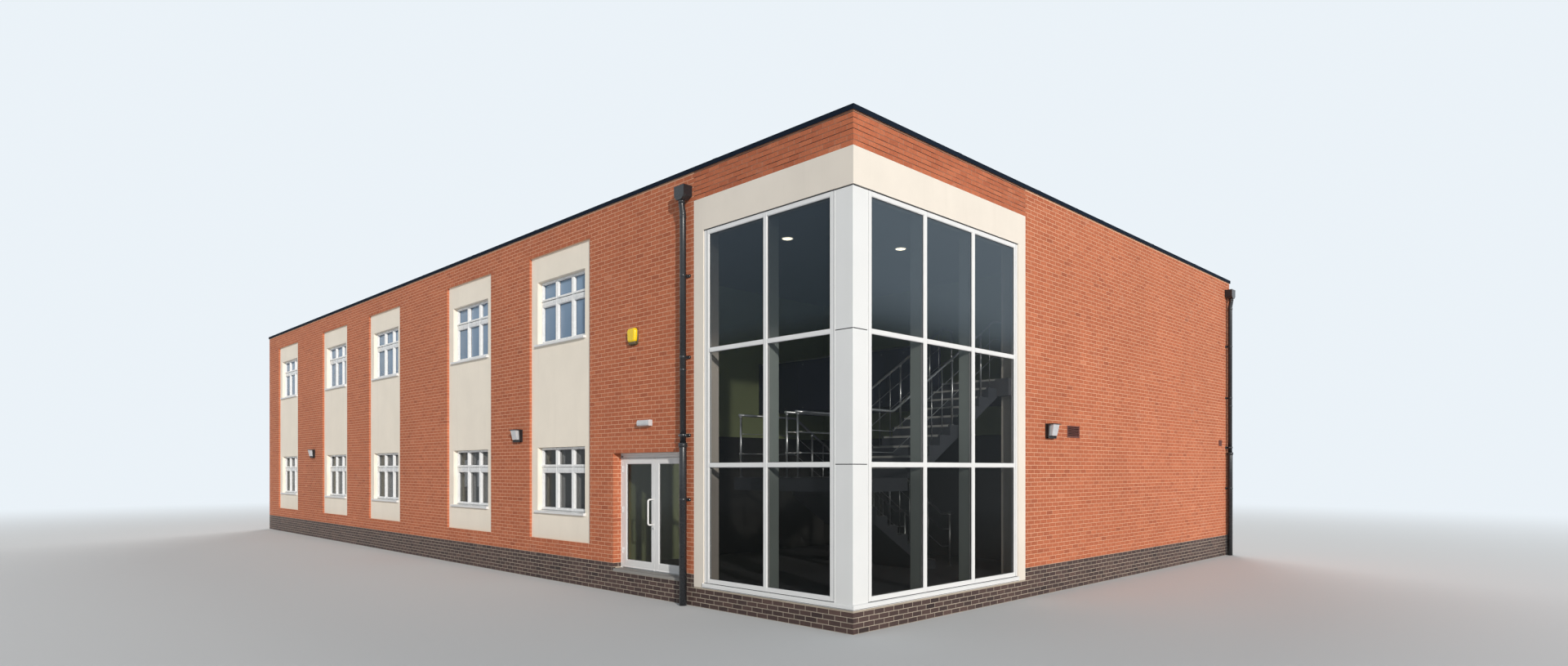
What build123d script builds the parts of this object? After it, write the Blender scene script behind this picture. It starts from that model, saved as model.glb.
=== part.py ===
from build123d import *
import os

os.makedirs("parts", exist_ok=True)

# Two-storey brick school block. The long front faces -Y and the glazed corner
# stands at +X, -Y. The origin is the plan centre, on the ground.

# Brick module: one stretcher and one course, each with its joint
brick_length = 225
course = 75

# Masonry shell
building_length = 128 * brick_length
building_depth = 68 * brick_length
wall_thickness = 330
plinth_height = 7 * course
wall_top = 7185

# Floors, ceiling and roof
ground_floor_level = 425
storey_height = 3400
floor_thickness = 300
ceiling_thickness = 25
upstand_height = 385
roof_thickness = 300
roof_fall = 120
ceiling_void = 325
roof_edge_level = wall_top - upstand_height
roof_ridge_level = roof_edge_level + roof_fall
roof_underside = roof_edge_level - roof_thickness
ceiling_level = roof_underside - ceiling_void

# Rendered strips: recessed bays that hold an upper and a lower window
strip_width = 2330
strip_recess = 75
render_thickness = 25
strip_bottom = plinth_height + 4 * course
brick_over_strips = 510
strip_top = wall_top - brick_over_strips
front_strip_shares = [-0.41667, -0.24236, -0.09688, 0.08854, 0.23073]
back_strip_shares = [-0.41146, -0.23073, -0.08854, 0.09688, 0.24236, 0.41667]
front_strips = [round(share * building_length) for share in front_strip_shares]
back_strips = [round(share * building_length) for share in back_strip_shares]
end_strips = [0]

# Windows
window_width = 1830
window_height = 18 * course
lower_window_bottom = plinth_height + 11 * course
render_over_windows = 7 * course
upper_window_bottom = strip_top - render_over_windows - window_height
reveal_lining = 20
frame_setback = 160
frame_depth = 70
frame_face = 50
mullion_face = 110
frame_foot = 60
bottom_rail = 60
main_light_height = 705
transom_height = 175
glass_thickness = 24
glass_setback = 40
sill_horn = 35
sill_projection = 10
sill_nose = 42
drip_width = 12
drip_depth = 8
drip_inset = 16

# Entrance, stopped one narrow pier short of the glazed corner
door_width = 2100
door_pier_width = 265
corner_front_width = 3435
door_left = building_length / 2 - corner_front_width - door_pier_width - door_width
door_head = plinth_height + 27 * course
door_setback = 180
door_frame_face = 60
door_frame_depth = 80
door_frame_head = 85
threshold_height = 15
leaf_thickness = 50
leaf_jamb_gap = 5
leaf_meeting_gap = 10
leaf_head_gap = 6
leaf_floor_gap = 6
stile_face = 100
leaf_top_rail = 95
leaf_bottom_rail = 130
door_glass_thickness = 20
hinge_radius = 9
pin_radius = 4
pin_clearance = 0.3
hinge_standoff = 1
hinge_flap = 32
hinge_flap_thickness = 4
knuckle_height = 55
hinge_heights = [250, 1000, 1750]
pull_length = 450
pull_projection = 75
pull_diameter = 25
pull_height = 1065

# Glazed corner
front_columns = 2
side_columns = 3
corner_side_width = 4640
surround_jamb = 245
surround_depth = 330
corner_sill_bottom = 325
band_height = 7 * course
band_top = strip_top
corner_head = band_top - band_height
glazing_setback = 15
glazing_depth = 60
corner_post_front = 360
corner_post_side = 335
corner_post_thickness = 60
front_jamb_face = 120
side_jamb_face = 100
post_jamb_face = 85
corner_mullion = 82
corner_rail = 75
corner_sill_height = 75
corner_sill_projection = 20
corner_sill_chamfer = 12
corner_glass_setback = 22
corner_head_rail = 85
lower_transom = 2320
upper_transom = 4185
corner_transom_face = 70
panel_joint = 8
inner_mullion_depth = 200
inner_mullion_width = 70
corner_column = 150

# Stair hall behind the glazed corner
hall_beside_door = 600
hall_left = door_left - hall_beside_door
partition_thickness = 120
hall_back = -1350
landing_edge = -3450
going = 286
flight_width = 1170
flight_gap = 110
stair_clear_of_glazing = 25
nosing_end = 40
risers_per_flight = 10
riser = storey_height / (2 * risers_per_flight)
waist = 160
nosing_thickness = 3
nosing_depth = 45
half_landing_thickness = 200
fascia_thickness = 50
fascia_height = 1080
fascia_drop = 350
capping_overhang = 12
capping_thickness = 30
rail_height = 1000
rail_diameter = 42
rail_inset = 60
rail_end = 60
rail_run_on = 300
post_diameter = 36
tube_sides = 12
downlight_radius = 85
downlight_sides = 24
downlight_rim = 12
downlight_depth = 60
downlights_at = [(11750, -6250), (12700, -4350)]

# Coping
coping_overhang = 25
coping_leg = 35
coping_rise = 40
coping_fall = 17
coping_outer_top = wall_top + coping_rise
coping_inner_top = coping_outer_top - coping_fall
coping_joint = 4

# Rainwater goods
pipe_diameter = 105
pipe_sides = 20
pipe_standoff = 32
hopper_width = 260
hopper_depth = 185
hopper_above_roof = 130
hopper_top = roof_edge_level + hopper_above_roof
hopper_height = 235
hopper_rim = 175
hopper_foot = 122
hopper_outlet_out = 118
hopper_wall = 8
chute_width = 160
chute_height = 90
pipe_beside_door = 95
front_pipe_x = door_left + door_width + pipe_beside_door
pipe_beside_corner = 230
side_pipe_y = building_depth / 2 - pipe_beside_corner
offset_start_drop = 310
offset_end_drop = 450
offset_top = hopper_top - offset_start_drop
offset_bottom = hopper_top - offset_end_drop
coupling_diameter = 114
coupling_height = 36
coupling_level = 3916
bracket_levels = [5455, 4110, 2815, 1750]
bracket_width = 185
bracket_height = 55
bracket_thickness = 10
bracket_block = 62
clamp_level = 2815
clamp_thickness = 11
standpipe_diameter = 125
standpipe_top = 2690
collar_diameter = 150
collar_height = 75

# Wall fittings
light_width = 300
light_height = 270
light_depth = 165
light_body_depth = 85
light_body_foot = 70
light_brow = 16
lens_top_width = 220
lens_top_depth = 66
lens_foot_width = 190
lens_foot_depth = 26
lens_height = 205
front_lights_at = [(5030, 2965), (-9080, 2765)]
side_light_at = (-2155, 2945)
door_light_width = 350
door_light_height = 110
door_light_depth = 95
door_light_level = 3065
door_light_edge = 12
alarm_at = (9270, 4620)
alarm_width = 270
alarm_height = 300
alarm_depth = 60
alarm_base_depth = 22
alarm_base_border = 6
alarm_corner = 55
alarm_taper = 8
alarm_edge = 10
louvre_at = (-1210, plinth_height + 32.5 * course)
louvre_width = 500
louvre_height = 3 * course
louvre_blades = 6
louvre_border = 22
louvre_blade_thickness = 8
louvre_rise = 24
airbrick_at = (6965, plinth_height + 32 * course)
airbrick_width = brick_length
airbrick_height = 2 * course
airbrick_slot = 14
airbrick_columns = 6
airbrick_rows = 3
vent_projection = 8
vent_recess = 40

# Derived places
half_length = building_length / 2
half_depth = building_depth / 2
first_floor_level = ground_floor_level + storey_height
window_bottoms = [lower_window_bottom, upper_window_bottom]
door_right = door_left + door_width
door_centre = (door_left + door_right) / 2
surround_left = half_length - corner_front_width
surround_back = -half_depth + corner_side_width
glazing_left = surround_left + surround_jamb
glazing_back = surround_back - surround_jamb
inner_x = half_length - wall_thickness
inner_y = half_depth - wall_thickness
glazing_inner = glazing_setback + glazing_depth

# Each facade is drawn in elevation: x along the wall, y up, normal outwards
front_face = Plane(origin=(0, -half_depth, 0), x_dir=(1, 0, 0), z_dir=(0, -1, 0))
side_face = Plane(origin=(half_length, 0, 0), x_dir=(0, 1, 0), z_dir=(1, 0, 0))
back_face = Plane(origin=(0, half_depth, 0), x_dir=(-1, 0, 0), z_dir=(0, 1, 0))
end_face = Plane(origin=(-half_length, 0, 0), x_dir=(0, -1, 0), z_dir=(-1, 0, 0))


def panel(left, right, bottom, top, mode=Mode.ADD):
    """A rectangle between two places and two levels of an elevation or a plan."""
    with Locations(((left + right) / 2, (bottom + top) / 2)):
        Rectangle(right - left, top - bottom, mode=mode)


def strip_outline(centre, mode=Mode.ADD):
    """The outline of one rendered strip."""
    panel(centre - strip_width / 2, centre + strip_width / 2, strip_bottom, strip_top, mode)


def window_opening(centre, bottom, grow=0, mode=Mode.ADD):
    """One window opening, grown on three sides by the lining behind the render."""
    half_width = window_width / 2 + grow
    panel(centre - half_width, centre + half_width, bottom, bottom + window_height + grow, mode)


def window_lights(centre, bottom, mode=Mode.ADD):
    """Three main lights with three short lights over the transom."""
    light_width_each = (window_width - 2 * frame_face - 2 * mullion_face) / 3
    main_bottom = bottom + frame_foot + bottom_rail
    top_bottom = main_bottom + main_light_height + transom_height
    top_height = bottom + window_height - frame_face - top_bottom
    for column in (-1, 0, 1):
        middle = centre + column * (light_width_each + mullion_face)
        for low, height in ((main_bottom, main_light_height), (top_bottom, top_height)):
            panel(middle - light_width_each / 2, middle + light_width_each / 2, low, low + height, mode)


def cut_strips(face, centres):
    """Recess the strips of one wall and cut the windows through it."""
    with BuildSketch(face) as recesses:
        for centre in centres:
            strip_outline(centre)
    extrude(recesses.sketch, amount=-strip_recess, mode=Mode.SUBTRACT)
    with BuildSketch(face) as openings:
        for centre in centres:
            for bottom in window_bottoms:
                window_opening(centre, bottom, reveal_lining)
    extrude(openings.sketch, amount=-wall_thickness, mode=Mode.SUBTRACT)


# Brick walls. The front is split beside and over the entrance.
with BuildPart() as front_wall:
    with BuildSketch(front_face):
        panel(-half_length, door_left, plinth_height, wall_top)
    extrude(amount=-wall_thickness)
    cut_strips(front_face, front_strips)

with BuildPart() as door_head_wall:
    with BuildSketch(front_face):
        panel(door_left, surround_left, door_head, wall_top)
    extrude(amount=-wall_thickness)
    with BuildSketch(front_face):
        panel(front_pipe_x - chute_width / 2, front_pipe_x + chute_width / 2,
              roof_edge_level, roof_edge_level + chute_height)
    extrude(amount=-wall_thickness, mode=Mode.SUBTRACT)

with BuildPart() as door_pier:
    with BuildSketch(front_face):
        panel(door_right, surround_left, plinth_height, door_head)
    extrude(amount=-wall_thickness)

with BuildPart() as side_wall:
    with BuildSketch(side_face):
        panel(surround_back, half_depth - wall_thickness, plinth_height, wall_top)
    extrude(amount=-wall_thickness)
    with BuildSketch(side_face):
        panel(louvre_at[0] - louvre_width / 2, louvre_at[0] + louvre_width / 2,
              louvre_at[1] - louvre_height / 2, louvre_at[1] + louvre_height / 2)
        panel(airbrick_at[0] - airbrick_width / 2, airbrick_at[0] + airbrick_width / 2,
              airbrick_at[1] - airbrick_height / 2, airbrick_at[1] + airbrick_height / 2)
    extrude(amount=-vent_recess, mode=Mode.SUBTRACT)

with BuildPart() as back_wall:
    with BuildSketch(back_face):
        panel(-half_length, half_length, plinth_height, wall_top)
    extrude(amount=-wall_thickness)
    cut_strips(back_face, back_strips)

with BuildPart() as end_wall:
    with BuildSketch(end_face):
        panel(-inner_y, inner_y, plinth_height, wall_top)
    extrude(amount=-wall_thickness)
    cut_strips(end_face, end_strips)

# Dark brick plinth, stopped each side of the entrance, where the floor slab runs out to the face
with BuildPart() as plinth_front:
    with BuildSketch(front_face):
        panel(-half_length, door_left, 0, plinth_height)
        panel(door_right, surround_left, 0, plinth_height)
    extrude(amount=-wall_thickness)

with BuildPart() as plinth_side:
    with BuildSketch(side_face):
        panel(surround_back, inner_y, 0, plinth_height)
    extrude(amount=-wall_thickness)

with BuildPart() as plinth_back:
    with BuildSketch(back_face):
        panel(-half_length, half_length, 0, plinth_height)
    extrude(amount=-wall_thickness)

with BuildPart() as plinth_end:
    with BuildSketch(end_face):
        panel(-inner_y, inner_y, 0, plinth_height)
    extrude(amount=-wall_thickness)


def corner_angle(front_start, side_end, thickness, setback=0):
    """An L on plan along both glazed faces, from its front end to its side end."""
    outer_x = half_length - setback
    outer_y = -half_depth + setback
    panel(front_start, outer_x, outer_y, outer_y + thickness)
    panel(outer_x - thickness, outer_x, outer_y, side_end)


# Base under the glazed corner, then the rendered surround and the parapet over it
with BuildPart() as corner_base:
    with BuildSketch():
        corner_angle(surround_left, surround_back, wall_thickness)
    extrude(amount=corner_sill_bottom)
    with BuildSketch(Plane.XY.offset(corner_sill_bottom)):
        corner_angle(glazing_left, glazing_back, wall_thickness - glazing_inner, glazing_inner)
    extrude(amount=ground_floor_level - corner_sill_bottom)

with BuildPart() as surround_jambs:
    with BuildSketch(Plane.XY.offset(corner_sill_bottom)):
        panel(surround_left, glazing_left, -half_depth, -half_depth + surround_depth)
        panel(half_length - surround_depth, half_length, glazing_back, surround_back)
    extrude(amount=corner_head - corner_sill_bottom)

with BuildPart() as surround_band:
    with BuildSketch(Plane.XY.offset(corner_head)):
        corner_angle(surround_left, surround_back, surround_depth)
    extrude(amount=band_top - corner_head)

with BuildPart() as corner_parapet:
    with BuildSketch(Plane.XY.offset(band_top)):
        corner_angle(surround_left, surround_back, wall_thickness)
    extrude(amount=wall_top - band_top)


# Coping: a weathered cap with a leg over each face, mitred at the corners
def coping_run(face, run):
    """One side of the coping, cut back at each mitre to leave an open joint."""
    inner = wall_thickness + coping_overhang
    half_run = run / 2 + coping_overhang
    section = Plane(face.origin - face.x_dir * half_run, x_dir=face.z_dir, z_dir=-face.x_dir)
    plan = Plane(face.origin, x_dir=face.x_dir, z_dir=(0, 0, 1))
    leg_foot = wall_top - coping_leg
    tip = half_run - coping_joint
    back_tip = tip - inner - coping_overhang
    with BuildPart() as one_run:
        with BuildSketch(section):
            with BuildLine():
                Polyline((coping_overhang, leg_foot), (coping_overhang, coping_outer_top),
                         (-inner, coping_inner_top), (-inner, leg_foot), (-wall_thickness, leg_foot),
                         (-wall_thickness, wall_top), (0, wall_top), (0, leg_foot), close=True)
            make_face()
        extrude(amount=-2 * half_run)
        with BuildSketch(plan):
            with BuildLine():
                Polyline((-tip, -coping_overhang), (tip, -coping_overhang), (back_tip, inner),
                         (-back_tip, inner), close=True)
            make_face()
        extrude(amount=coping_outer_top, mode=Mode.INTERSECT)
    return one_run.part


coping_sides = [coping_run(face, run) for face, run in (
    (front_face, building_length), (side_face, building_depth),
    (back_face, building_length), (end_face, building_depth))]

with BuildPart() as coping:
    add(coping_sides)

# Floors and roof
with BuildPart() as ground_floor:
    with BuildSketch():
        panel(-inner_x, inner_x, -inner_y, inner_y)
        panel(door_left, door_right, -half_depth, -inner_y)
    extrude(amount=ground_floor_level)

with BuildPart() as first_floor:
    with BuildSketch(Plane.XY.offset(first_floor_level - floor_thickness)):
        panel(-inner_x, hall_left, -inner_y, inner_y)
        panel(hall_left + partition_thickness, inner_x, landing_edge, inner_y)
        panel(inner_x, half_length - glazing_inner, landing_edge, glazing_back)
    extrude(amount=floor_thickness)

with BuildPart() as roof_deck:
    with BuildSketch(Plane(origin=(-inner_x, 0, 0), x_dir=(0, 1, 0), z_dir=(1, 0, 0))):
        with BuildLine():
            Polyline((-inner_y, roof_underside), (inner_y, roof_underside), (inner_y, roof_edge_level),
                     (0, roof_ridge_level), (-inner_y, roof_edge_level), close=True)
        make_face()
    extrude(amount=2 * inner_x)

# Stair hall: two partitions and a ceiling with round downlights
with BuildPart() as hall_side_partition:
    with BuildSketch(Plane.XY.offset(ground_floor_level)):
        panel(hall_left, hall_left + partition_thickness, -inner_y, hall_back + partition_thickness)
    extrude(amount=roof_underside - ground_floor_level)

with BuildPart() as hall_back_partition:
    for low, high in ((ground_floor_level, first_floor_level - floor_thickness),
                      (first_floor_level, roof_underside)):
        with BuildSketch(Plane.XY.offset(low)):
            panel(hall_left + partition_thickness, inner_x, hall_back, hall_back + partition_thickness)
        extrude(amount=high - low)

with BuildPart() as hall_ceiling:
    with BuildSketch(Plane.XY.offset(ceiling_level)):
        panel(hall_left + partition_thickness, inner_x, -inner_y, hall_back)
        with Locations(*downlights_at):
            RegularPolygon(downlight_radius, downlight_sides, mode=Mode.SUBTRACT)
    extrude(amount=ceiling_thickness)

with BuildPart() as downlights:
    with BuildSketch(Plane.XY.offset(ceiling_level)):
        with Locations(*downlights_at):
            RegularPolygon(downlight_radius, downlight_sides)
    extrude(amount=downlight_depth)
    with BuildSketch(Plane.XY.offset(ceiling_level - downlight_rim / 2)):
        with Locations(*downlights_at):
            RegularPolygon(downlight_radius + downlight_rim, downlight_sides)
    extrude(amount=downlight_rim / 2)

# Dog-leg stair: up from the back to a half landing by the front glass, then back to the landing
upper_flight_right = half_length - glazing_inner - inner_mullion_depth - stair_clear_of_glazing
upper_flight_left = upper_flight_right - flight_width
lower_flight_right = upper_flight_left - flight_gap
lower_flight_left = lower_flight_right - flight_width
flight_run = (risers_per_flight - 1) * going
half_landing_level = ground_floor_level + risers_per_flight * riser
landing_front = -half_depth + glazing_inner + inner_mullion_depth


def flight_points(start, level, direction):
    """Side view of a flight: treads and risers over a sloping soffit."""
    points = [(start, level)]
    for step in range(risers_per_flight - 1):
        points.append((start + direction * step * going, level + (step + 1) * riser))
        points.append((start + direction * (step + 1) * going, level + (step + 1) * riser))
    top_y, top_z = points[-1]
    points.append((top_y, top_z - waist))
    points.append((start + direction * going, level))
    return points


upper_start = landing_edge - flight_run
flights = [(lower_flight_left, landing_edge, ground_floor_level, -1),
           (upper_flight_left, upper_start, half_landing_level, 1)]

with BuildPart() as stair_flights:
    for left, start, level, direction in flights:
        with BuildSketch(Plane(origin=(left, 0, 0), x_dir=(0, 1, 0), z_dir=(1, 0, 0))):
            with BuildLine():
                Polyline(*flight_points(start, level, direction), close=True)
            make_face()
        extrude(amount=flight_width)

with BuildPart() as half_landing:
    with BuildSketch(Plane.XY.offset(half_landing_level - half_landing_thickness)):
        panel(lower_flight_left, upper_flight_right, landing_front, upper_start)
    extrude(amount=half_landing_thickness)

with BuildPart() as stair_nosings:
    for step in range(risers_per_flight):
        for left, start, level, direction in flights:
            edge = start + direction * step * going
            back = edge + direction * nosing_depth
            with BuildSketch(Plane.XY.offset(level + (step + 1) * riser)):
                panel(left + nosing_end, left + flight_width - nosing_end,
                      min(edge, back), max(edge, back))
            extrude(amount=nosing_thickness)

with BuildPart() as landing_fascia:
    with BuildSketch(Plane.XY.offset(first_floor_level - fascia_drop)):
        panel(hall_left + partition_thickness, upper_flight_left, landing_edge - fascia_thickness, landing_edge)
    extrude(amount=fascia_height)


def handrail(x, route, post_places):
    """A tube along a route at one side of a flight, on posts that stand on its steps."""
    with BuildLine() as rail_line:
        path = Polyline(*[(x, y, z) for y, z in route])
    with BuildSketch(Plane(path @ 0, z_dir=path % 0)) as tube:
        RegularPolygon(rail_diameter / 2, tube_sides)
    sweep(tube.sketch, path=rail_line.line, transition=Transition.RIGHT)
    for y, foot, top in post_places:
        with BuildSketch(Plane.XY.offset(foot)) as post:
            with Locations((x, y)):
                RegularPolygon(post_diameter / 2, tube_sides)
        extrude(post.sketch, amount=top - foot)


right_rail_x = upper_flight_right - rail_inset
middle_right_x = upper_flight_left + rail_inset
middle_left_x = lower_flight_right - rail_inset
left_rail_x = lower_flight_left + rail_inset
half_rail = half_landing_level + rail_height
landing_rail = first_floor_level + rail_height
floor_rail = ground_floor_level + rail_height

lower_end = landing_edge + going

upper_route = [(landing_front + rail_end, half_rail), (upper_start - going, half_rail),
               (landing_edge, landing_rail), (landing_edge + rail_run_on, landing_rail)]
lower_route = [(landing_front + rail_end, half_rail), (upper_start, half_rail),
               (lower_end, floor_rail), (lower_end + rail_run_on, floor_rail)]


def stair_posts(direction, last_y, last_level):
    """Posts at both ends of a rail and on every third step of its flight."""
    posts = [(landing_front + rail_end + post_diameter, half_landing_level, half_rail)]
    pitch_start = 1.5 if direction > 0 else 0.5
    for step in range(1, risers_per_flight - 1, 3):
        posts.append((upper_start + (step + 0.5) * going,
                      half_landing_level + direction * (step + 1) * riser,
                      half_rail + direction * (step + pitch_start) * riser))
    posts.append((last_y - post_diameter, last_level, last_level + rail_height))
    return posts


with BuildPart() as stair_rails:
    for x in (middle_right_x, right_rail_x):
        handrail(x, upper_route, stair_posts(1, landing_edge + rail_run_on, first_floor_level))
    for x in (left_rail_x, middle_left_x):
        handrail(x, lower_route, stair_posts(-1, lower_end + rail_run_on, ground_floor_level))
    with BuildSketch(Plane.XY.offset(first_floor_level - fascia_drop + fascia_height)):
        panel(hall_left + partition_thickness, upper_flight_left,
              landing_edge - fascia_thickness - capping_overhang, landing_edge + capping_overhang)
    extrude(amount=capping_thickness)

# Windows: one of each piece, drawn from the foot of its opening on the wall face
window_places = [face.location * Location((centre, bottom, 0))
                 for face, centres in ((front_face, front_strips), (back_face, back_strips),
                                       (end_face, end_strips))
                 for centre in centres for bottom in window_bottoms]

with BuildPart() as one_frame:
    with BuildSketch(Plane.XY.offset(-frame_setback)):
        window_opening(0, 0, reveal_lining)
        window_lights(0, 0, mode=Mode.SUBTRACT)
    extrude(amount=-frame_depth)

with BuildPart() as one_glazing:
    with BuildSketch(Plane.XY.offset(-frame_setback - glass_setback)):
        window_lights(0, 0)
    extrude(amount=-glass_thickness)

render_surface = strip_recess - render_thickness
with BuildPart() as one_sill:
    with BuildSketch(Plane.YZ.offset(-window_width / 2 - sill_horn)):
        with BuildLine():
            drip = sill_projection - drip_inset
            Polyline((0, -frame_setback), (0, drip - drip_width), (drip_depth, drip - drip_width),
                     (drip_depth, drip), (0, drip), (0, sill_projection), (sill_nose, sill_projection),
                     (frame_foot, -frame_setback), close=True)
        make_face()
    extrude(amount=window_width + 2 * sill_horn)
    with BuildSketch(Plane.XY.offset(-render_surface)):
        for side in (-1, 1):
            with Locations((side * (window_width + sill_horn) / 2, frame_foot / 2)):
                Rectangle(sill_horn, frame_foot)
    extrude(amount=-frame_setback, mode=Mode.SUBTRACT)

with BuildPart() as window_frames:
    with Locations(*window_places):
        add(one_frame.part)

with BuildPart() as window_glass:
    with Locations(*window_places):
        add(one_glazing.part)

with BuildPart() as window_sills:
    with Locations(*window_places):
        add(one_sill.part)

with BuildPart() as render_strips:
    for face, centres in ((front_face, front_strips), (back_face, back_strips), (end_face, end_strips)):
        with BuildSketch(face.offset(-strip_recess)):
            for centre in centres:
                strip_outline(centre)
                for bottom in window_bottoms:
                    window_opening(centre, bottom, mode=Mode.SUBTRACT)
        extrude(amount=render_thickness)
        with BuildSketch(face.offset(-strip_recess)):
            for centre in centres:
                for bottom in window_bottoms:
                    window_opening(centre, bottom, reveal_lining)
                    window_opening(centre, bottom, mode=Mode.SUBTRACT)
        extrude(amount=strip_recess - frame_setback)

# Glazed corner: two screens of tall lights, a clad post between them and a sill under both
corner_levels = [corner_sill_bottom + corner_sill_height + corner_rail,
                 lower_transom - corner_transom_face / 2, lower_transom + corner_transom_face / 2,
                 upper_transom - corner_transom_face / 2, upper_transom + corner_transom_face / 2,
                 corner_head - corner_head_rail]
post_front_edge = half_length - corner_post_front
post_side_edge = -half_depth + corner_post_side
front_screen = (front_face, glazing_left, post_front_edge, front_jamb_face, post_jamb_face,
                front_columns)
side_screen = (side_face, post_side_edge, glazing_back, post_jamb_face, side_jamb_face,
               side_columns)


def screen_lights(screen, mode=Mode.ADD):
    """The panes of one screen: three rows of equal columns."""
    face, left, right, left_edge, right_edge, columns = screen
    clear = right - left - left_edge - right_edge
    pane = (clear - (columns - 1) * corner_mullion) / columns
    for column in range(columns):
        start = left + left_edge + column * (pane + corner_mullion)
        for row in (0, 2, 4):
            panel(start, start + pane, corner_levels[row], corner_levels[row + 1], mode)


with BuildPart() as corner_frames:
    for screen in (front_screen, side_screen):
        with BuildSketch(screen[0].offset(-glazing_setback)):
            panel(screen[1], screen[2], corner_sill_bottom + corner_sill_height, corner_head)
            screen_lights(screen, Mode.SUBTRACT)
        extrude(amount=-glazing_depth)

with BuildPart() as corner_glass:
    for screen in (front_screen, side_screen):
        with BuildSketch(screen[0].offset(-glazing_setback - corner_glass_setback)):
            screen_lights(screen)
        extrude(amount=-glass_thickness)

with BuildPart() as corner_post:
    with BuildSketch(Plane.XY.offset(corner_sill_bottom + corner_sill_height)):
        corner_angle(post_front_edge, post_side_edge, corner_post_thickness, glazing_setback)
    extrude(amount=corner_head - corner_sill_bottom - corner_sill_height)
    for level in (lower_transom, upper_transom):
        with BuildSketch(Plane.XY.offset(level)):
            corner_angle(post_front_edge, post_side_edge, panel_joint, glazing_setback)
        extrude(amount=panel_joint, mode=Mode.SUBTRACT)

with BuildPart() as corner_sill:
    with BuildSketch(Plane.XY.offset(corner_sill_bottom)):
        corner_angle(glazing_left, glazing_back,
                     corner_sill_projection + glazing_setback + glazing_depth, -corner_sill_projection)
    extrude(amount=corner_sill_height)
    outer_edges = corner_sill.edges().group_by(Axis.Z)[-1]
    chamfer([outer_edges.filter_by(Axis.X).sort_by(Axis.Y)[0],
             outer_edges.filter_by(Axis.Y).sort_by(Axis.X)[-1]], corner_sill_chamfer)

with BuildPart() as inner_mullions:
    for screen in (front_screen, side_screen):
        face, left, right, left_edge, right_edge, columns = screen
        pitch = (right - left - left_edge - right_edge + corner_mullion) / columns
        with BuildSketch(face.offset(-glazing_setback - glazing_depth)):
            for column in range(1, columns):
                middle = left + left_edge + column * pitch - corner_mullion / 2
                panel(middle - inner_mullion_width / 2, middle + inner_mullion_width / 2,
                      ground_floor_level, corner_head)
        extrude(amount=-inner_mullion_depth)
    with BuildSketch(Plane.XY.offset(ground_floor_level)):
        column_inset = glazing_setback + corner_post_thickness + corner_column / 2
        with Locations((half_length - column_inset, -half_depth + column_inset)):
            Rectangle(corner_column, corner_column)
    extrude(amount=corner_head - ground_floor_level)

# Entrance: a metal frame with a pair of glazed leaves that open outwards
door_face = front_face.offset(-door_setback)
leaf_bottom = ground_floor_level + threshold_height + leaf_floor_gap
leaf_top = door_head - door_frame_head - leaf_head_gap
leaf_outer_left = door_left + door_frame_face + leaf_jamb_gap
leaf_outer_right = door_right - door_frame_face - leaf_jamb_gap
leaf_width = (leaf_outer_right - leaf_outer_left - leaf_meeting_gap) / 2
hinge_out = hinge_radius + hinge_standoff
left_hinge_x = leaf_outer_left - leaf_jamb_gap / 2
right_hinge_x = leaf_outer_right + leaf_jamb_gap / 2
hinge_y = -half_depth + door_setback - hinge_out
door_y = -half_depth + door_setback


def knuckle(hinge_x, level, side, bore):
    """One hinge knuckle with its flap on the side of the piece that carries it."""
    with BuildSketch(Plane.XY.offset(level)) as outline:
        with Locations((hinge_x, hinge_y)):
            RegularPolygon(hinge_radius, tube_sides)
        panel(min(hinge_x, hinge_x + side * hinge_flap), max(hinge_x, hinge_x + side * hinge_flap),
              door_y - hinge_flap_thickness, door_y)
        if bore:
            with Locations((hinge_x, hinge_y)):
                RegularPolygon(pin_radius + pin_clearance, tube_sides, mode=Mode.SUBTRACT)
    extrude(outline.sketch, amount=knuckle_height)


with BuildPart() as door_frame:
    with BuildSketch(door_face):
        panel(door_left, door_right, ground_floor_level, door_head)
        panel(door_left + door_frame_face, door_right - door_frame_face,
              ground_floor_level + threshold_height, door_head - door_frame_head, Mode.SUBTRACT)
    extrude(amount=-door_frame_depth)
    for hinge_x, side in ((left_hinge_x, -1), (right_hinge_x, 1)):
        for height in hinge_heights:
            level = leaf_bottom + height
            knuckle(hinge_x, level, side, bore=False)
            with BuildSketch(Plane.XY.offset(level)):
                with Locations((hinge_x, hinge_y)):
                    RegularPolygon(pin_radius, tube_sides)
            extrude(amount=2 * knuckle_height - hinge_radius)


def door_leaf(start, hinge_x, side):
    """A leaf: two stiles, a head rail and a deep foot rail, with its half of each hinge."""
    with BuildPart() as leaf:
        with BuildSketch(door_face):
            panel(start, start + leaf_width, leaf_bottom, leaf_top)
            leaf_light(start, Mode.SUBTRACT)
        extrude(amount=-leaf_thickness)
        for height in hinge_heights:
            knuckle(hinge_x, leaf_bottom + height + knuckle_height + pin_clearance, side, bore=True)
    return leaf


def leaf_light(start, mode=Mode.ADD):
    """The glazed opening of one leaf."""
    panel(start + stile_face, start + leaf_width - stile_face,
          leaf_bottom + leaf_bottom_rail, leaf_top - leaf_top_rail, mode)


right_leaf_start = leaf_outer_right - leaf_width
left_leaf = door_leaf(leaf_outer_left, left_hinge_x, 1)
right_leaf = door_leaf(right_leaf_start, right_hinge_x, -1)

glass_face = door_face.offset(-(leaf_thickness - door_glass_thickness) / 2)

with BuildPart() as left_leaf_glass:
    with BuildSketch(glass_face):
        leaf_light(leaf_outer_left)
    extrude(amount=-door_glass_thickness)

with BuildPart() as right_leaf_glass:
    with BuildSketch(glass_face):
        leaf_light(right_leaf_start)
    extrude(amount=-door_glass_thickness)

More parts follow.
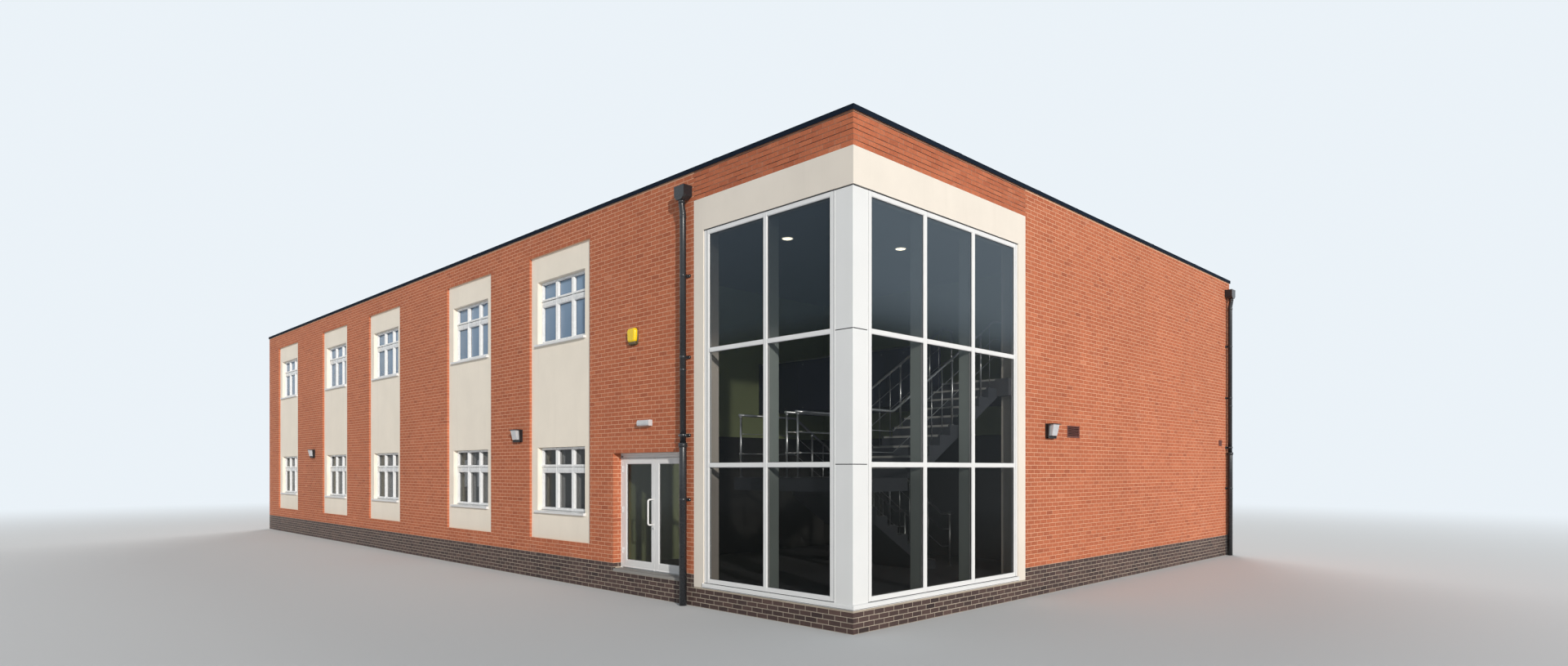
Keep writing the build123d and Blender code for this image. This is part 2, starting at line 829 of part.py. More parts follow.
# Back-to-back pulls on the meeting stile of the left leaf
pull_x = leaf_outer_left + leaf_width - stile_face / 2
pull_low = ground_floor_level + pull_height - pull_length / 2
pull_high = pull_low + pull_length
with BuildPart() as door_pulls:
    for start_y, out in ((door_y, -1), (door_y + leaf_thickness, 1)):
        grip_y = start_y + out * pull_projection
        with BuildLine():
            grip = Polyline((pull_x, start_y, pull_low), (pull_x, grip_y, pull_low),
                            (pull_x, grip_y, pull_high), (pull_x, start_y, pull_high))
        with BuildSketch(Plane(grip @ 0, z_dir=grip % 0)):
            RegularPolygon(pull_diameter / 2, tube_sides)
        sweep(transition=Transition.RIGHT)

# Rainwater goods, drawn once at the foot of a wall face: x along it, y up, z outwards
pipe_out = pipe_standoff + standpipe_diameter / 2
hopper_out = hopper_depth / 2
outlet_level = hopper_top - hopper_height
with BuildPart() as one_hopper:
    with BuildSketch(Plane.XZ.offset(-hopper_top)):
        with Locations((0, hopper_out)):
            Rectangle(hopper_width, hopper_depth)
    extrude(amount=hopper_rim)
    with BuildSketch(Plane.XZ.offset(-hopper_top + hopper_rim)):
        with Locations((0, hopper_out)):
            Rectangle(hopper_width - 2 * hopper_wall, hopper_depth - 2 * hopper_wall)
    with BuildSketch(Plane.XZ.offset(-outlet_level)):
        with Locations((0, hopper_outlet_out)):
            Rectangle(hopper_foot, hopper_foot)
    loft()
    with BuildSketch(Plane.XZ.offset(-hopper_top)):
        with Locations((0, hopper_out)):
            Rectangle(hopper_width - 2 * hopper_wall, hopper_depth - 2 * hopper_wall)
    extrude(amount=hopper_rim - hopper_wall, mode=Mode.SUBTRACT)
    with BuildSketch(Plane.XZ.offset(-outlet_level)):
        with Locations((0, hopper_outlet_out)):
            RegularPolygon(pipe_diameter / 2, pipe_sides)
    extrude(amount=-hopper_height, mode=Mode.SUBTRACT)
    with BuildSketch():
        panel(-chute_width / 2, chute_width / 2, roof_edge_level, roof_edge_level + chute_height)
    extrude(amount=hopper_wall, mode=Mode.SUBTRACT)

with BuildPart() as one_pipe:
    with BuildLine():
        route = Polyline((0, outlet_level + hopper_wall, hopper_outlet_out),
                         (0, offset_top, hopper_outlet_out), (0, offset_bottom, pipe_out),
                         (0, standpipe_top, pipe_out))
    with BuildSketch(Plane(route @ 0, z_dir=route % 0)):
        RegularPolygon(pipe_diameter / 2, pipe_sides)
    sweep(transition=Transition.RIGHT)
    for top, height, diameter in ((standpipe_top, standpipe_top, standpipe_diameter),
                                  (standpipe_top, collar_height, collar_diameter),
                                  (coupling_level, coupling_height, coupling_diameter)):
        with BuildSketch(Plane.XZ.offset(-top)):
            with Locations((0, pipe_out)):
                RegularPolygon(diameter / 2, pipe_sides)
        extrude(amount=height)

# A bracket is a plate with two ears and a saddle block; the one over the collar clamps the pipe
with BuildPart() as one_bracket_set:
    for level in bracket_levels:
        with BuildSketch():
            with Locations((0, level)):
                Rectangle(bracket_width, bracket_height)
        extrude(amount=bracket_thickness)
        radius = pipe_diameter / 2 if level > standpipe_top else standpipe_diameter / 2
        with BuildSketch(Plane.XZ.offset(-level - bracket_height / 2)):
            panel(-bracket_block / 2, bracket_block / 2, 0, pipe_out)
            if level == clamp_level:
                with Locations((0, pipe_out)):
                    RegularPolygon(radius + clamp_thickness, pipe_sides)
            with Locations((0, pipe_out)):
                RegularPolygon(radius, pipe_sides, mode=Mode.SUBTRACT)
        extrude(amount=bracket_height)

rainwater_places = [front_face.location * Location((front_pipe_x, 0, 0)),
                    side_face.location * Location((side_pipe_y, 0, 0))]

with BuildPart() as rainwater_hoppers:
    with Locations(*rainwater_places):
        add(one_hopper.part)

with BuildPart() as downpipes:
    with Locations(*rainwater_places):
        add(one_pipe.part)

with BuildPart() as pipe_brackets:
    with Locations(*rainwater_places):
        add(one_bracket_set.part)

# Wall lights: a black body, a flat brow over it and a lens that tapers to its foot
light_places = [front_face.location * Location((x, z, 0)) for x, z in front_lights_at]
light_places.append(side_face.location * Location((side_light_at[0], side_light_at[1], 0)))
brow_foot = light_height / 2 - light_brow

with BuildPart() as one_light:
    with BuildSketch(Plane.YZ.offset(-light_width / 2)):
        with BuildLine():
            Polyline((-light_height / 2, 0), (light_height / 2, 0), (light_height / 2, light_depth),
                     (brow_foot, light_depth), (brow_foot, light_body_depth),
                     (-light_height / 2, light_body_foot), close=True)
        make_face()
    extrude(amount=light_width)

with BuildPart() as one_lens:
    with BuildSketch(Plane.XZ.offset(-brow_foot)):
        with Locations((0, light_body_depth + lens_top_depth / 2)):
            Rectangle(lens_top_width, lens_top_depth)
    with BuildSketch(Plane.XZ.offset(-brow_foot + lens_height)):
        with Locations((0, light_body_depth + lens_foot_depth / 2)):
            Rectangle(lens_foot_width, lens_foot_depth)
    loft()
    add(one_light.part, mode=Mode.SUBTRACT)

with BuildPart() as wall_lights:
    with Locations(*light_places):
        add(one_light.part)

with BuildPart() as light_lenses:
    with Locations(*light_places):
        add(one_lens.part)

with BuildPart() as door_light:
    with BuildSketch(front_face):
        with Locations((door_centre, door_light_level)):
            Rectangle(door_light_width, door_light_height)
    extrude(amount=door_light_depth)
    chamfer(door_light.faces().sort_by(Axis.Y)[0].edges(), door_light_edge)

# Alarm box: a flat base plate and a rounded cover
with BuildPart() as alarm_base:
    with BuildSketch(front_face):
        with Locations(alarm_at):
            RectangleRounded(alarm_width, alarm_height, alarm_corner)
    extrude(amount=alarm_base_depth)

with BuildPart() as alarm_cover:
    with BuildSketch(front_face.offset(alarm_base_depth)):
        with Locations(alarm_at):
            RectangleRounded(alarm_width - 2 * alarm_base_border, alarm_height - 2 * alarm_base_border,
                             alarm_corner - alarm_base_border)
    extrude(amount=alarm_depth, taper=alarm_taper)
    chamfer(alarm_cover.faces().sort_by(Axis.Y)[0].edges(), alarm_edge)

# Vents in the side wall: sloping louvre blades, and an airbrick pierced in rows
with BuildPart() as wall_vents:
    with BuildSketch(side_face.offset(-vent_recess)):
        with Locations(louvre_at):
            Rectangle(louvre_width, louvre_height)
            Rectangle(louvre_width - 2 * louvre_border, louvre_height - 2 * louvre_border, mode=Mode.SUBTRACT)
    extrude(amount=vent_recess + vent_projection)
    blade_pitch = (louvre_height - 2 * louvre_border) / louvre_blades
    for blade in range(louvre_blades):
        foot = (louvre_at[1] - louvre_height / 2 + louvre_border - louvre_blade_thickness / 2
                + blade * blade_pitch)
        half_blade = louvre_width / 2 - louvre_border
        with BuildSketch(Plane(origin=(half_length, louvre_at[0] - half_blade, 0), x_dir=(1, 0, 0),
                               z_dir=(0, -1, 0))):
            with BuildLine():
                Polyline((0, foot), (0, foot + louvre_blade_thickness),
                         (-vent_recess, foot + louvre_blade_thickness + louvre_rise),
                         (-vent_recess, foot + louvre_rise), close=True)
            make_face()
        extrude(amount=-2 * half_blade)
    with BuildSketch(side_face.offset(-vent_recess)):
        with Locations(airbrick_at):
            Rectangle(airbrick_width, airbrick_height)
    extrude(amount=vent_recess + vent_projection)
    with BuildSketch(side_face.offset(vent_projection)):
        with Locations(airbrick_at):
            with GridLocations(airbrick_width / airbrick_columns, airbrick_height / airbrick_rows,
                               airbrick_columns, airbrick_rows):
                Rectangle(airbrick_slot, airbrick_height / airbrick_rows - airbrick_slot)
    extrude(amount=-vent_recess, mode=Mode.SUBTRACT)

pieces = {
    "front_wall": front_wall,
    "door_head_wall": door_head_wall,
    "door_pier": door_pier,
    "side_wall": side_wall,
    "back_wall": back_wall,
    "end_wall": end_wall,
    "plinth_front": plinth_front,
    "plinth_side": plinth_side,
    "plinth_back": plinth_back,
    "plinth_end": plinth_end,
    "corner_base": corner_base,
    "surround_jambs": surround_jambs,
    "surround_band": surround_band,
    "corner_parapet": corner_parapet,
    "coping": coping,
    "ground_floor": ground_floor,
    "first_floor": first_floor,
    "roof_deck": roof_deck,
    "hall_side_partition": hall_side_partition,
    "hall_back_partition": hall_back_partition,
    "hall_ceiling": hall_ceiling,
    "downlights": downlights,
    "stair_flights": stair_flights,
    "half_landing": half_landing,
    "stair_nosings": stair_nosings,
    "landing_fascia": landing_fascia,
    "stair_rails": stair_rails,
    "window_frames": window_frames,
    "window_glass": window_glass,
    "window_sills": window_sills,
    "render_strips": render_strips,
    "corner_frames": corner_frames,
    "corner_glass": corner_glass,
    "corner_post": corner_post,
    "corner_sill": corner_sill,
    "inner_mullions": inner_mullions,
    "door_frame": door_frame,
    "left_leaf": left_leaf,
    "right_leaf": right_leaf,
    "left_leaf_glass": left_leaf_glass,
    "right_leaf_glass": right_leaf_glass,
    "door_pulls": door_pulls,
    "rainwater_hoppers": rainwater_hoppers,
    "downpipes": downpipes,
    "pipe_brackets": pipe_brackets,
    "wall_lights": wall_lights,
    "light_lenses": light_lenses,
    "door_light": door_light,
    "alarm_base": alarm_base,
    "alarm_cover": alarm_cover,
    "wall_vents": wall_vents,
}
for name, piece in pieces.items():
    piece.part.label = name
    export_step(piece.part, f"parts/{name}.step")
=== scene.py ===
import math
import random

import bmesh
import bpy
import numpy as np
from mathutils import Matrix, Vector


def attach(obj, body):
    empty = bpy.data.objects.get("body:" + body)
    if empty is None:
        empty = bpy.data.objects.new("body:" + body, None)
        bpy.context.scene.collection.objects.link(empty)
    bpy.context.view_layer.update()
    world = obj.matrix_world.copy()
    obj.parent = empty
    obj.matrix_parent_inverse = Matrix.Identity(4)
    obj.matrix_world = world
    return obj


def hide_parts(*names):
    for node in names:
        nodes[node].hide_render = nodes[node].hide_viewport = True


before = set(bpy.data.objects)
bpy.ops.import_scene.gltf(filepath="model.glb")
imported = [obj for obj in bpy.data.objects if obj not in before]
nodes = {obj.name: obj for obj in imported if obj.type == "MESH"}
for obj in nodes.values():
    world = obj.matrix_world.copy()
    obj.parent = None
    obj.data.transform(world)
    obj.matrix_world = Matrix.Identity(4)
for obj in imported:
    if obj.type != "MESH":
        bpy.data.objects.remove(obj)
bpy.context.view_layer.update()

random.seed(11)
worldScene = bpy.context.scene
worldScene.view_settings.view_transform = "Standard"

halfLength, halfDepth = 14.4, 7.65
halfWidths = {"front": halfLength, "side": halfDepth, "back": halfLength, "end": halfDepth}


def facePlane(outwards, distance):
    # local axes of an upright face: x along it, y up, z outwards
    outwards, up = Vector(outwards), Vector((0, 0, 1))
    plane = Matrix((up.cross(outwards), up, outwards)).transposed().to_4x4()
    plane.translation = outwards * distance
    return plane


wallFaces = {
    "front": facePlane((0, -1, 0), halfDepth),
    "side": facePlane((1, 0, 0), halfLength),
    "back": facePlane((0, 1, 0), halfDepth),
    "end": facePlane((-1, 0, 0), halfLength),
}
# middles of the rendered strips that hold the windows
strips = {
    "front": [-12.0, -6.98, -2.79, 2.55, 6.645],
    "back": [-11.85, -6.645, -2.55, 2.79, 6.98, 12.0],
    "end": [0.0],
    "side": [],
}


def shifted(face, x=0.0, y=0.0, z=0.0):
    return wallFaces[face] @ Matrix.Translation((x, y, z))


# shader nodes: an input takes another node's output, a number or a colour
def feed(tree, node, inputs):
    for key, value in inputs.items():
        socket = node.inputs[key]
        if isinstance(value, bpy.types.NodeSocket):
            tree.links.new(value, socket)
        else:
            socket.default_value = (*value, 1) if socket.type == "RGBA" else value


def addNode(tree, kind, inputs=None, **settings):
    node = tree.nodes.new("ShaderNode" + kind)
    for setting, value in settings.items():
        setattr(node, setting, value)
    feed(tree, node, inputs or {})
    return node


def maths(tree, operation, *values):
    return addNode(tree, "Math", dict(enumerate(values)), operation=operation).outputs[0]


def spread(tree, value, low, high, newLow=0.0, newHigh=1.0, smooth=False):
    inputs = {"Value": value, "From Min": low, "From Max": high, "To Min": newLow, "To Max": newHigh}
    kind = "SMOOTHSTEP" if smooth else "LINEAR"
    return addNode(tree, "MapRange", inputs, interpolation_type=kind).outputs["Result"]


def seenRays(tree):
    # rays that show the backdrop: straight to the camera, mirrored or through a pane
    path = addNode(tree, "LightPath").outputs
    mirrored = maths(tree, "MAXIMUM", path["Is Camera Ray"], path["Is Glossy Ray"])
    return maths(tree, "MAXIMUM", mirrored, path["Is Transmission Ray"])


# camera, lamps, sky and floor
viewpoint = {"place": (21.855, -16.435, 2.262), "tilt": 89.96, "turn": 45.01, "lens": 19.37, "sensor": 36,
             "rise": 0.0869, "reach": 2000}
cameraData = bpy.data.cameras.new("streetView")
cameraData.sensor_width = viewpoint["sensor"]
cameraData.lens = viewpoint["lens"]
cameraData.shift_y = viewpoint["rise"]
cameraData.clip_end = viewpoint["reach"]
streetView = bpy.data.objects.new("streetView", cameraData)
streetView.location = viewpoint["place"]
streetView.rotation_euler = (math.radians(viewpoint["tilt"]), 0, math.radians(viewpoint["turn"]))
worldScene.collection.objects.link(streetView)
worldScene.camera = streetView

lamps = {
    "eveningSun": {"towards": (0.875, -0.405, 0.265), "strength": 2.88, "angle": 1.6,
                   "colour": (1.0, 0.95, 0.88)},
    "backFill": {"towards": (-0.62, 0.66, 0.42), "strength": 1.5, "angle": 40, "colour": (1.0, 0.98, 0.95)},
}
for lampName, lamp in lamps.items():
    lampData = bpy.data.lights.new(lampName, "SUN")
    lampData.energy = lamp["strength"]
    lampData.angle = math.radians(lamp["angle"])
    lampData.color = lamp["colour"]
    lampObject = bpy.data.objects.new(lampName, lampData)
    lampObject.rotation_euler = Vector(lamp["towards"]).to_track_quat("Z", "Y").to_euler()
    worldScene.collection.objects.link(lampObject)

sky = {"light": (0.84, 0.93, 1.0), "strength": 0.332, "seen": (0.83, 0.89, 0.94)}
ground = {"colour": (0.70, 0.71, 0.72), "roughness": 0.9, "size": 420, "cells": 24, "level": -0.002,
          "fadeStart": 18.0, "fadeEnd": 46.0}


def buildSky():
    world = bpy.data.worlds.new("studioSky")
    worldScene.world = world
    world.use_nodes = True
    tree = world.node_tree
    tree.nodes.clear()
    soft = addNode(tree, "Background", {"Color": sky["light"], "Strength": sky["strength"]})
    seen = addNode(tree, "Background", {"Color": sky["seen"], "Strength": 1.0})
    mix = addNode(tree, "MixShader", {0: seenRays(tree), 1: soft.outputs[0], 2: seen.outputs[0]})
    addNode(tree, "OutputWorld", {0: mix.outputs[0]})


def buildFloor():
    bm = bmesh.new()
    bmesh.ops.create_grid(bm, x_segments=ground["cells"], y_segments=ground["cells"], size=ground["size"])
    mesh = bpy.data.meshes.new("studioFloor")
    bm.to_mesh(mesh)
    bm.free()
    floor = bpy.data.objects.new("studioFloor", mesh)
    floor.location = (0, 0, ground["level"])
    worldScene.collection.objects.link(floor)
    material = bpy.data.materials.new("paleFloor")
    material.use_nodes = True
    tree = material.node_tree
    shader = tree.nodes["Principled BSDF"]
    feed(tree, shader, {"Base Color": ground["colour"], "Roughness": ground["roughness"]})
    place = addNode(tree, "TexCoord").outputs["Object"]
    length = addNode(tree, "VectorMath", {0: place}, operation="LENGTH").outputs["Value"]
    fade = spread(tree, length, ground["fadeStart"], ground["fadeEnd"], smooth=True)
    glow = addNode(tree, "Emission", {"Color": sky["seen"], "Strength": 1.0})
    share = maths(tree, "MULTIPLY", seenRays(tree), fade)
    mix = addNode(tree, "MixShader", {0: share, 1: shader.outputs[0], 2: glow.outputs[0]})
    feed(tree, tree.nodes["Material Output"], {"Surface": mix.outputs[0]})
    mesh.materials.append(material)


buildSky()
buildFloor()
print("sky, lamps and floor ready")


# finishes: each starts as a shader with its object coordinates, then gets its own colour and grain
finishes = {}
bricks = {"pitch": 0.225, "course": 0.075, "joint": 0.010, "proud": 0.0010, "lift": 0.0003, "tilt": 0.0004,
          "chamfer": 0.0009, "shortest": 0.045, "return": 0.05, "foot": 0.001, "lap": 0.0015,
          "tone": (0.5, 0.14), "darkShare": 0.015, "darkTone": (0.05, 0.3)}
# the axis across each pair of outer walls, and where their plaster ends
insideWalls = ((0, 14.17), (1, 7.42))
glassTop = 7.0


def startFinish(name, roughness, metallic=0.0, coat=0.0, specular=0.5):
    material = bpy.data.materials.new(name)
    material.use_nodes = True
    finishes[name] = material
    tree = material.node_tree
    addNode(tree, "TexCoord")
    setShader(tree, {"Roughness": roughness, "Metallic": metallic, "Coat Weight": coat,
                     "Specular IOR Level": specular})
    return tree


def setShader(tree, inputs):
    feed(tree, tree.nodes["Principled BSDF"], inputs)


def placeOf(tree):
    return tree.nodes["Texture Coordinate"].outputs["Object"]


def axisOf(tree, axis):
    return addNode(tree, "SeparateXYZ", {0: placeOf(tree)}).outputs[axis]


def grain(tree, scale, detail=3.0, stretch=(1, 1, 1), roughness=0.55):
    mapped = addNode(tree, "Mapping", {"Vector": placeOf(tree), "Scale": stretch}).outputs[0]
    inputs = {"Vector": mapped, "Scale": scale, "Detail": detail, "Roughness": roughness}
    return addNode(tree, "TexNoise", inputs).outputs["Fac"]


def ramp(tree, factor, *stops):
    node = addNode(tree, "ValToRGB", {0: factor})
    elements = node.color_ramp.elements
    while len(elements) < len(stops):
        elements.new(0.5)
    for element, (position, colour) in zip(elements, stops):
        element.position = position
        element.color = (*colour, 1)
    return node.outputs["Color"]


def blend(tree, first, second, factor, mode="MIX"):
    inputs = {6: first, 7: second, 0: factor}
    return addNode(tree, "Mix", inputs, data_type="RGBA", blend_type=mode).outputs[2]


def tinted(tree, base, factor, *stops):
    return blend(tree, base, ramp(tree, factor, *stops), 1.0, "MULTIPLY")


def shade(colour, factor):
    return tuple(min(1.0, c * factor) for c in colour)


def grey(level):
    return (level, level, level)


def mottle(tree, factor, colour, dark, light, low=0.3, high=0.7):
    return ramp(tree, factor, (low, shade(colour, dark)), (high, shade(colour, light)))


def heights(tree, *layers):
    # each layer: the height, its distance in metres and its strength
    normal = None
    for height, distance, strength in layers:
        inputs = {"Height": height, "Distance": distance, "Strength": strength}
        if normal is not None:
            inputs["Normal"] = normal
        normal = addNode(tree, "Bump", inputs).outputs["Normal"]
    setShader(tree, {"Normal": normal})


def paintedFinish(name, colour, roughness, patch, depth, peel=260.0, dust=0.0, **shine):
    tree = startFinish(name, roughness, **shine)
    base = mottle(tree, grain(tree, patch, 4.0), colour, 1 - depth, 1 + depth)
    if dust:
        level = spread(tree, axisOf(tree, 2), 0.1, 1.1, dust, 0.0, True)
        base = blend(tree, base, (0.42, 0.37, 0.31), level)
    gloss = spread(tree, grain(tree, 9.0), 0.3, 0.7, roughness * 0.85, roughness * 1.18)
    setShader(tree, {"Base Color": base, "Roughness": gloss})
    heights(tree, (grain(tree, peel, 2.0), 0.0004, 0.35), (grain(tree, 22.0, 2.0), 0.002, 0.12))


def brickFinish(name, roughness, tones, specular=0.5):
    tree = startFinish(name, roughness, specular=specular)
    tone = addNode(tree, "Attribute", attribute_name="tone").outputs["Fac"]
    clay = grain(tree, 34.0, 5.0, (1, 1, 2.2), 0.7)
    base = tinted(tree, ramp(tree, tone, *tones), clay, (0.32, (0.78, 0.74, 0.72)), (0.66, (1.12, 1.1, 1.08)))
    weather = grain(tree, 0.42, 5.0, (1, 1, 0.6))
    base = tinted(tree, base, weather, (0.33, (0.93, 0.92, 0.91)), (0.62, (1.05, 1.05, 1.05)))
    bloom = spread(tree, grain(tree, 1.3, 6.0, (1, 1, 1.8), 0.75), 0.60, 0.80, 0.0, 0.30)
    setShader(tree, {"Base Color": blend(tree, base, (0.70, 0.50, 0.38), bloom)})
    drag = grain(tree, 210.0, 3.0, (1.0, 1.0, 0.25))
    heights(tree, (drag, 0.0016, 0.55), (grain(tree, 60.0, 4.0), 0.004, 0.45))


def mortarFinish(name, colour, inside, bedShade=None):
    tree = startFinish(name, 0.95)
    sand = grain(tree, 420.0)
    base = mottle(tree, sand, colour, 0.86, 1.1)
    if bedShade:
        # painted shade of open bed joints: a near-black line, one to a course, in patches
        level = maths(tree, "PINGPONG", axisOf(tree, 2), bricks["course"] / 2)
        bedShadeLine = spread(tree, level, 0.0058, 0.0072, 1.0, 0.0)
        gaps = spread(tree, grain(tree, 1.6, 4.0, (1, 1, 5.0)), 0.40, 0.56, 0.35, 1.0)
        base = blend(tree, base, bedShade, maths(tree, "MULTIPLY", bedShadeLine, gaps))
    base = tinted(tree, base, grain(tree, 0.5, 4.0), (0.35, grey(0.92)), (0.65, grey(1.06)))
    # the same wall shows its plaster to the rooms
    rooms = []
    for axis, half in insideWalls:
        across = maths(tree, "ABSOLUTE", axisOf(tree, axis))
        rooms.append(spread(tree, across, half + 0.004, half + 0.006, 1.0, 0.0))
    plaster = mottle(tree, grain(tree, 2.0), inside, 0.95, 1.04)
    setShader(tree, {"Base Color": blend(tree, base, plaster, maths(tree, "MULTIPLY", *rooms))})
    heights(tree, (sand, 0.0012, 0.5))


def renderFinish(name, colour):
    tree = startFinish(name, 0.92)
    base = mottle(tree, grain(tree, 1.1, 6.0, (1, 1, 0.7), 0.62), colour, 0.965, 1.03, 0.32, 0.68)
    streak = spread(tree, grain(tree, 3.4, 5.0, (1, 1, 0.06), 0.7), 0.55, 0.8, 0.0, 0.13)
    base = blend(tree, base, (0.56, 0.50, 0.42), streak)
    foot = spread(tree, axisOf(tree, 2), 0.80, 1.25, 0.10, 0.0, True)
    setShader(tree, {"Base Color": blend(tree, base, (0.50, 0.43, 0.35), foot)})
    heights(tree, (grain(tree, 520.0, 2.0), 0.0011, 0.5), (grain(tree, 7.0, 4.0), 0.006, 0.10))


def glassFinish(name, zones, gloss=0.5, sideReflection=None):
    # each zone: its level, its tint and how much the pane hides what is behind it; the tints hold painted sky
    # reflection, darker low down and bluer and lighter higher up
    tree = startFinish(name, 0.012, specular=gloss)
    level = spread(tree, axisOf(tree, 2), 0.0, glassTop)
    drift = maths(tree, "MULTIPLY_ADD", grain(tree, 0.7, 3.0, (1, 1, 0.35)), 0.05, level)
    tintAndReflection = ramp(tree, drift, *[(z / glassTop + 0.025, colour) for z, colour, cover in zones])
    # painted reflection: the upper panes of one face take a lighter blue
    if sideReflection:
        axis, low, high, colour = sideReflection
        upper = spread(tree, axisOf(tree, 2), 4.0, 5.0, 0.0, 1.0, True)
        across = spread(tree, axisOf(tree, axis), low, high, 0.0, 1.0, True)
        tintAndReflection = blend(tree, tintAndReflection, colour, maths(tree, "MULTIPLY", across, upper))
    cover = ramp(tree, level, *[(z / glassTop, grey(cover)) for z, colour, cover in zones])
    setShader(tree, {"IOR": 1.52, "Base Color": tintAndReflection, "Alpha": cover})
    heights(tree, (grain(tree, 0.8, 1.0), 0.012, 0.05))


def coveringFinish(name, colour, speck, scale=300.0, roughness=0.8):
    tree = startFinish(name, roughness)
    fibre = grain(tree, scale, 2.0)
    base = ramp(tree, fibre, (0.34, colour), (0.60, shade(colour, 1.25)), (0.74, speck))
    base = tinted(tree, base, grain(tree, 0.8, 4.0), (0.3, grey(0.88)), (0.7, grey(1.08)))
    setShader(tree, {"Base Color": base})
    heights(tree, (fibre, 0.0012, 0.5))


def shadeDadoFinish(name, upper, lower, level, start):
    # painted shade: a dark band like a dado stands for the shade of the lower hall; it runs up to a level,
    # from a line across the plan to the back
    tree = startFinish(name, 0.85, specular=0.2)
    patch = grain(tree, 1.6, 4.0)
    top = mottle(tree, patch, upper, 0.96, 1.04)
    foot = mottle(tree, patch, lower, 0.9, 1.1)
    above = spread(tree, axisOf(tree, 2), level - 0.004, level + 0.004)
    beside = spread(tree, axisOf(tree, 1), start - 0.004, start + 0.004, 1.0, 0.0)
    setShader(tree, {"Base Color": blend(tree, foot, top, maths(tree, "MAXIMUM", above, beside))})
    heights(tree, (grain(tree, 60.0), 0.0005, 0.12))


def steelFinish(name, colour, roughness):
    tree = startFinish(name, roughness, metallic=1.0)
    lines = grain(tree, 240.0, 3.0, (1, 1, 0.05))
    gloss = spread(tree, lines, 0.3, 0.7, roughness * 0.7, roughness * 1.3)
    setShader(tree, {"Base Color": mottle(tree, lines, colour, 0.85, 1.08), "Roughness": gloss})
    heights(tree, (lines, 0.0002, 0.3))


def opalFinish(name, colour, glow, roughness=0.25):
    tree = startFinish(name, roughness)
    base = mottle(tree, grain(tree, 18.0), colour, 0.94, 1.04)
    setShader(tree, {"Base Color": base, "Emission Color": colour, "Emission Strength": glow})
    heights(tree, (grain(tree, 90.0, 2.0), 0.0006, 0.2))


brickFinish("redBrick", 0.88, [(0.0, (0.36, 0.100, 0.047)), (0.20, (0.43, 0.122, 0.056)),
                               (0.50, (0.485, 0.144, 0.066)), (0.80, (0.535, 0.168, 0.079)),
                               (1.0, (0.59, 0.215, 0.115))])
brickFinish("plinthBrick", 0.6, [(0.0, (0.030, 0.020, 0.020)), (0.4, (0.062, 0.040, 0.038)),
                                 (0.8, (0.105, 0.066, 0.058)), (1.0, (0.15, 0.098, 0.082))], 0.3)
mortarFinish("redMortar", (0.70, 0.40, 0.26), (0.55, 0.56, 0.45))
mortarFinish("greyMortar", (0.42, 0.36, 0.29), (0.42, 0.40, 0.36))
# the parapet's mortar is darker, and its open bed joints take near-black painted shade
mortarFinish("darkMortarJointShade", (0.42, 0.20, 0.125), (0.55, 0.56, 0.45), (0.030, 0.014, 0.010))
renderFinish("creamRender", (0.81, 0.747, 0.668))
# the strips take a lighter cream than the band: partly their own colour, partly painted light for faces that
# get little sun
renderFinish("stripRender", (0.92, 0.845, 0.735))
coveringFinish("floorCarpet", (0.10, 0.10, 0.11), (0.22, 0.22, 0.23))
coveringFinish("stepConcrete", (0.27, 0.26, 0.245), (0.42, 0.41, 0.39), 190.0, 0.9)
coveringFinish("stairVinyl", (0.060, 0.066, 0.078), (0.17, 0.18, 0.20), 220.0, 0.6)
coveringFinish("roofMembrane", (0.27, 0.28, 0.29), (0.40, 0.41, 0.42), 160.0, 0.85)
paintedFinish("copingPowder", (0.011, 0.017, 0.029), 0.74, 1.5, 0.06, specular=0.03)
paintedFinish("nosingAlloy", (0.58, 0.58, 0.54), 0.5, 3.0, 0.08)
paintedFinish("ceilingBoard", (0.20, 0.235, 0.26), 0.85, 1.4, 0.05, 220.0)
paintedFinish("fasciaNavy", (0.035, 0.042, 0.085), 0.5, 1.5, 0.10)
paintedFinish("windowWhite", (0.80, 0.81, 0.82), 0.28, 1.5, 0.02, 320.0, coat=0.2)
paintedFinish("sillWhite", (0.78, 0.785, 0.79), 0.32, 1.5, 0.03, 320.0)
paintedFinish("cornerWhite", (0.80, 0.805, 0.81), 0.33, 1.3, 0.02, 300.0)
paintedFinish("postWhite", (0.79, 0.80, 0.805), 0.36, 0.9, 0.02, 300.0, dust=0.04)
paintedFinish("mullionGrey", (0.44, 0.51, 0.48), 0.5, 1.4, 0.05)
paintedFinish("doorWhite", (0.78, 0.785, 0.79), 0.34, 1.2, 0.025, 300.0)
paintedFinish("pullWhite", (0.86, 0.86, 0.85), 0.22, 2.0, 0.02, 340.0, coat=0.4)
paintedFinish("rainBlack", (0.020, 0.022, 0.026), 0.26, 2.2, 0.15, 190.0, coat=0.3, specular=0.35)
paintedFinish("lightBlack", (0.022, 0.021, 0.023), 0.5, 3.0, 0.12)
# the alarm base's dark colour is painted shade of the box's underside
paintedFinish("alarmBaseShade", (0.10, 0.075, 0.03), 0.5, 3.0, 0.08)
paintedFinish("alarmYellow", (0.93, 0.64, 0.010), 0.3, 3.0, 0.04)
paintedFinish("ventBrown", (0.135, 0.040, 0.030), 0.6, 4.0, 0.10)
# black for real gaskets and seals, and for strips of painted shade in gaps, grooves and vents
paintedFinish("gasketAndShadeBlack", (0.028, 0.030, 0.033), 0.6, 6.0, 0.10)
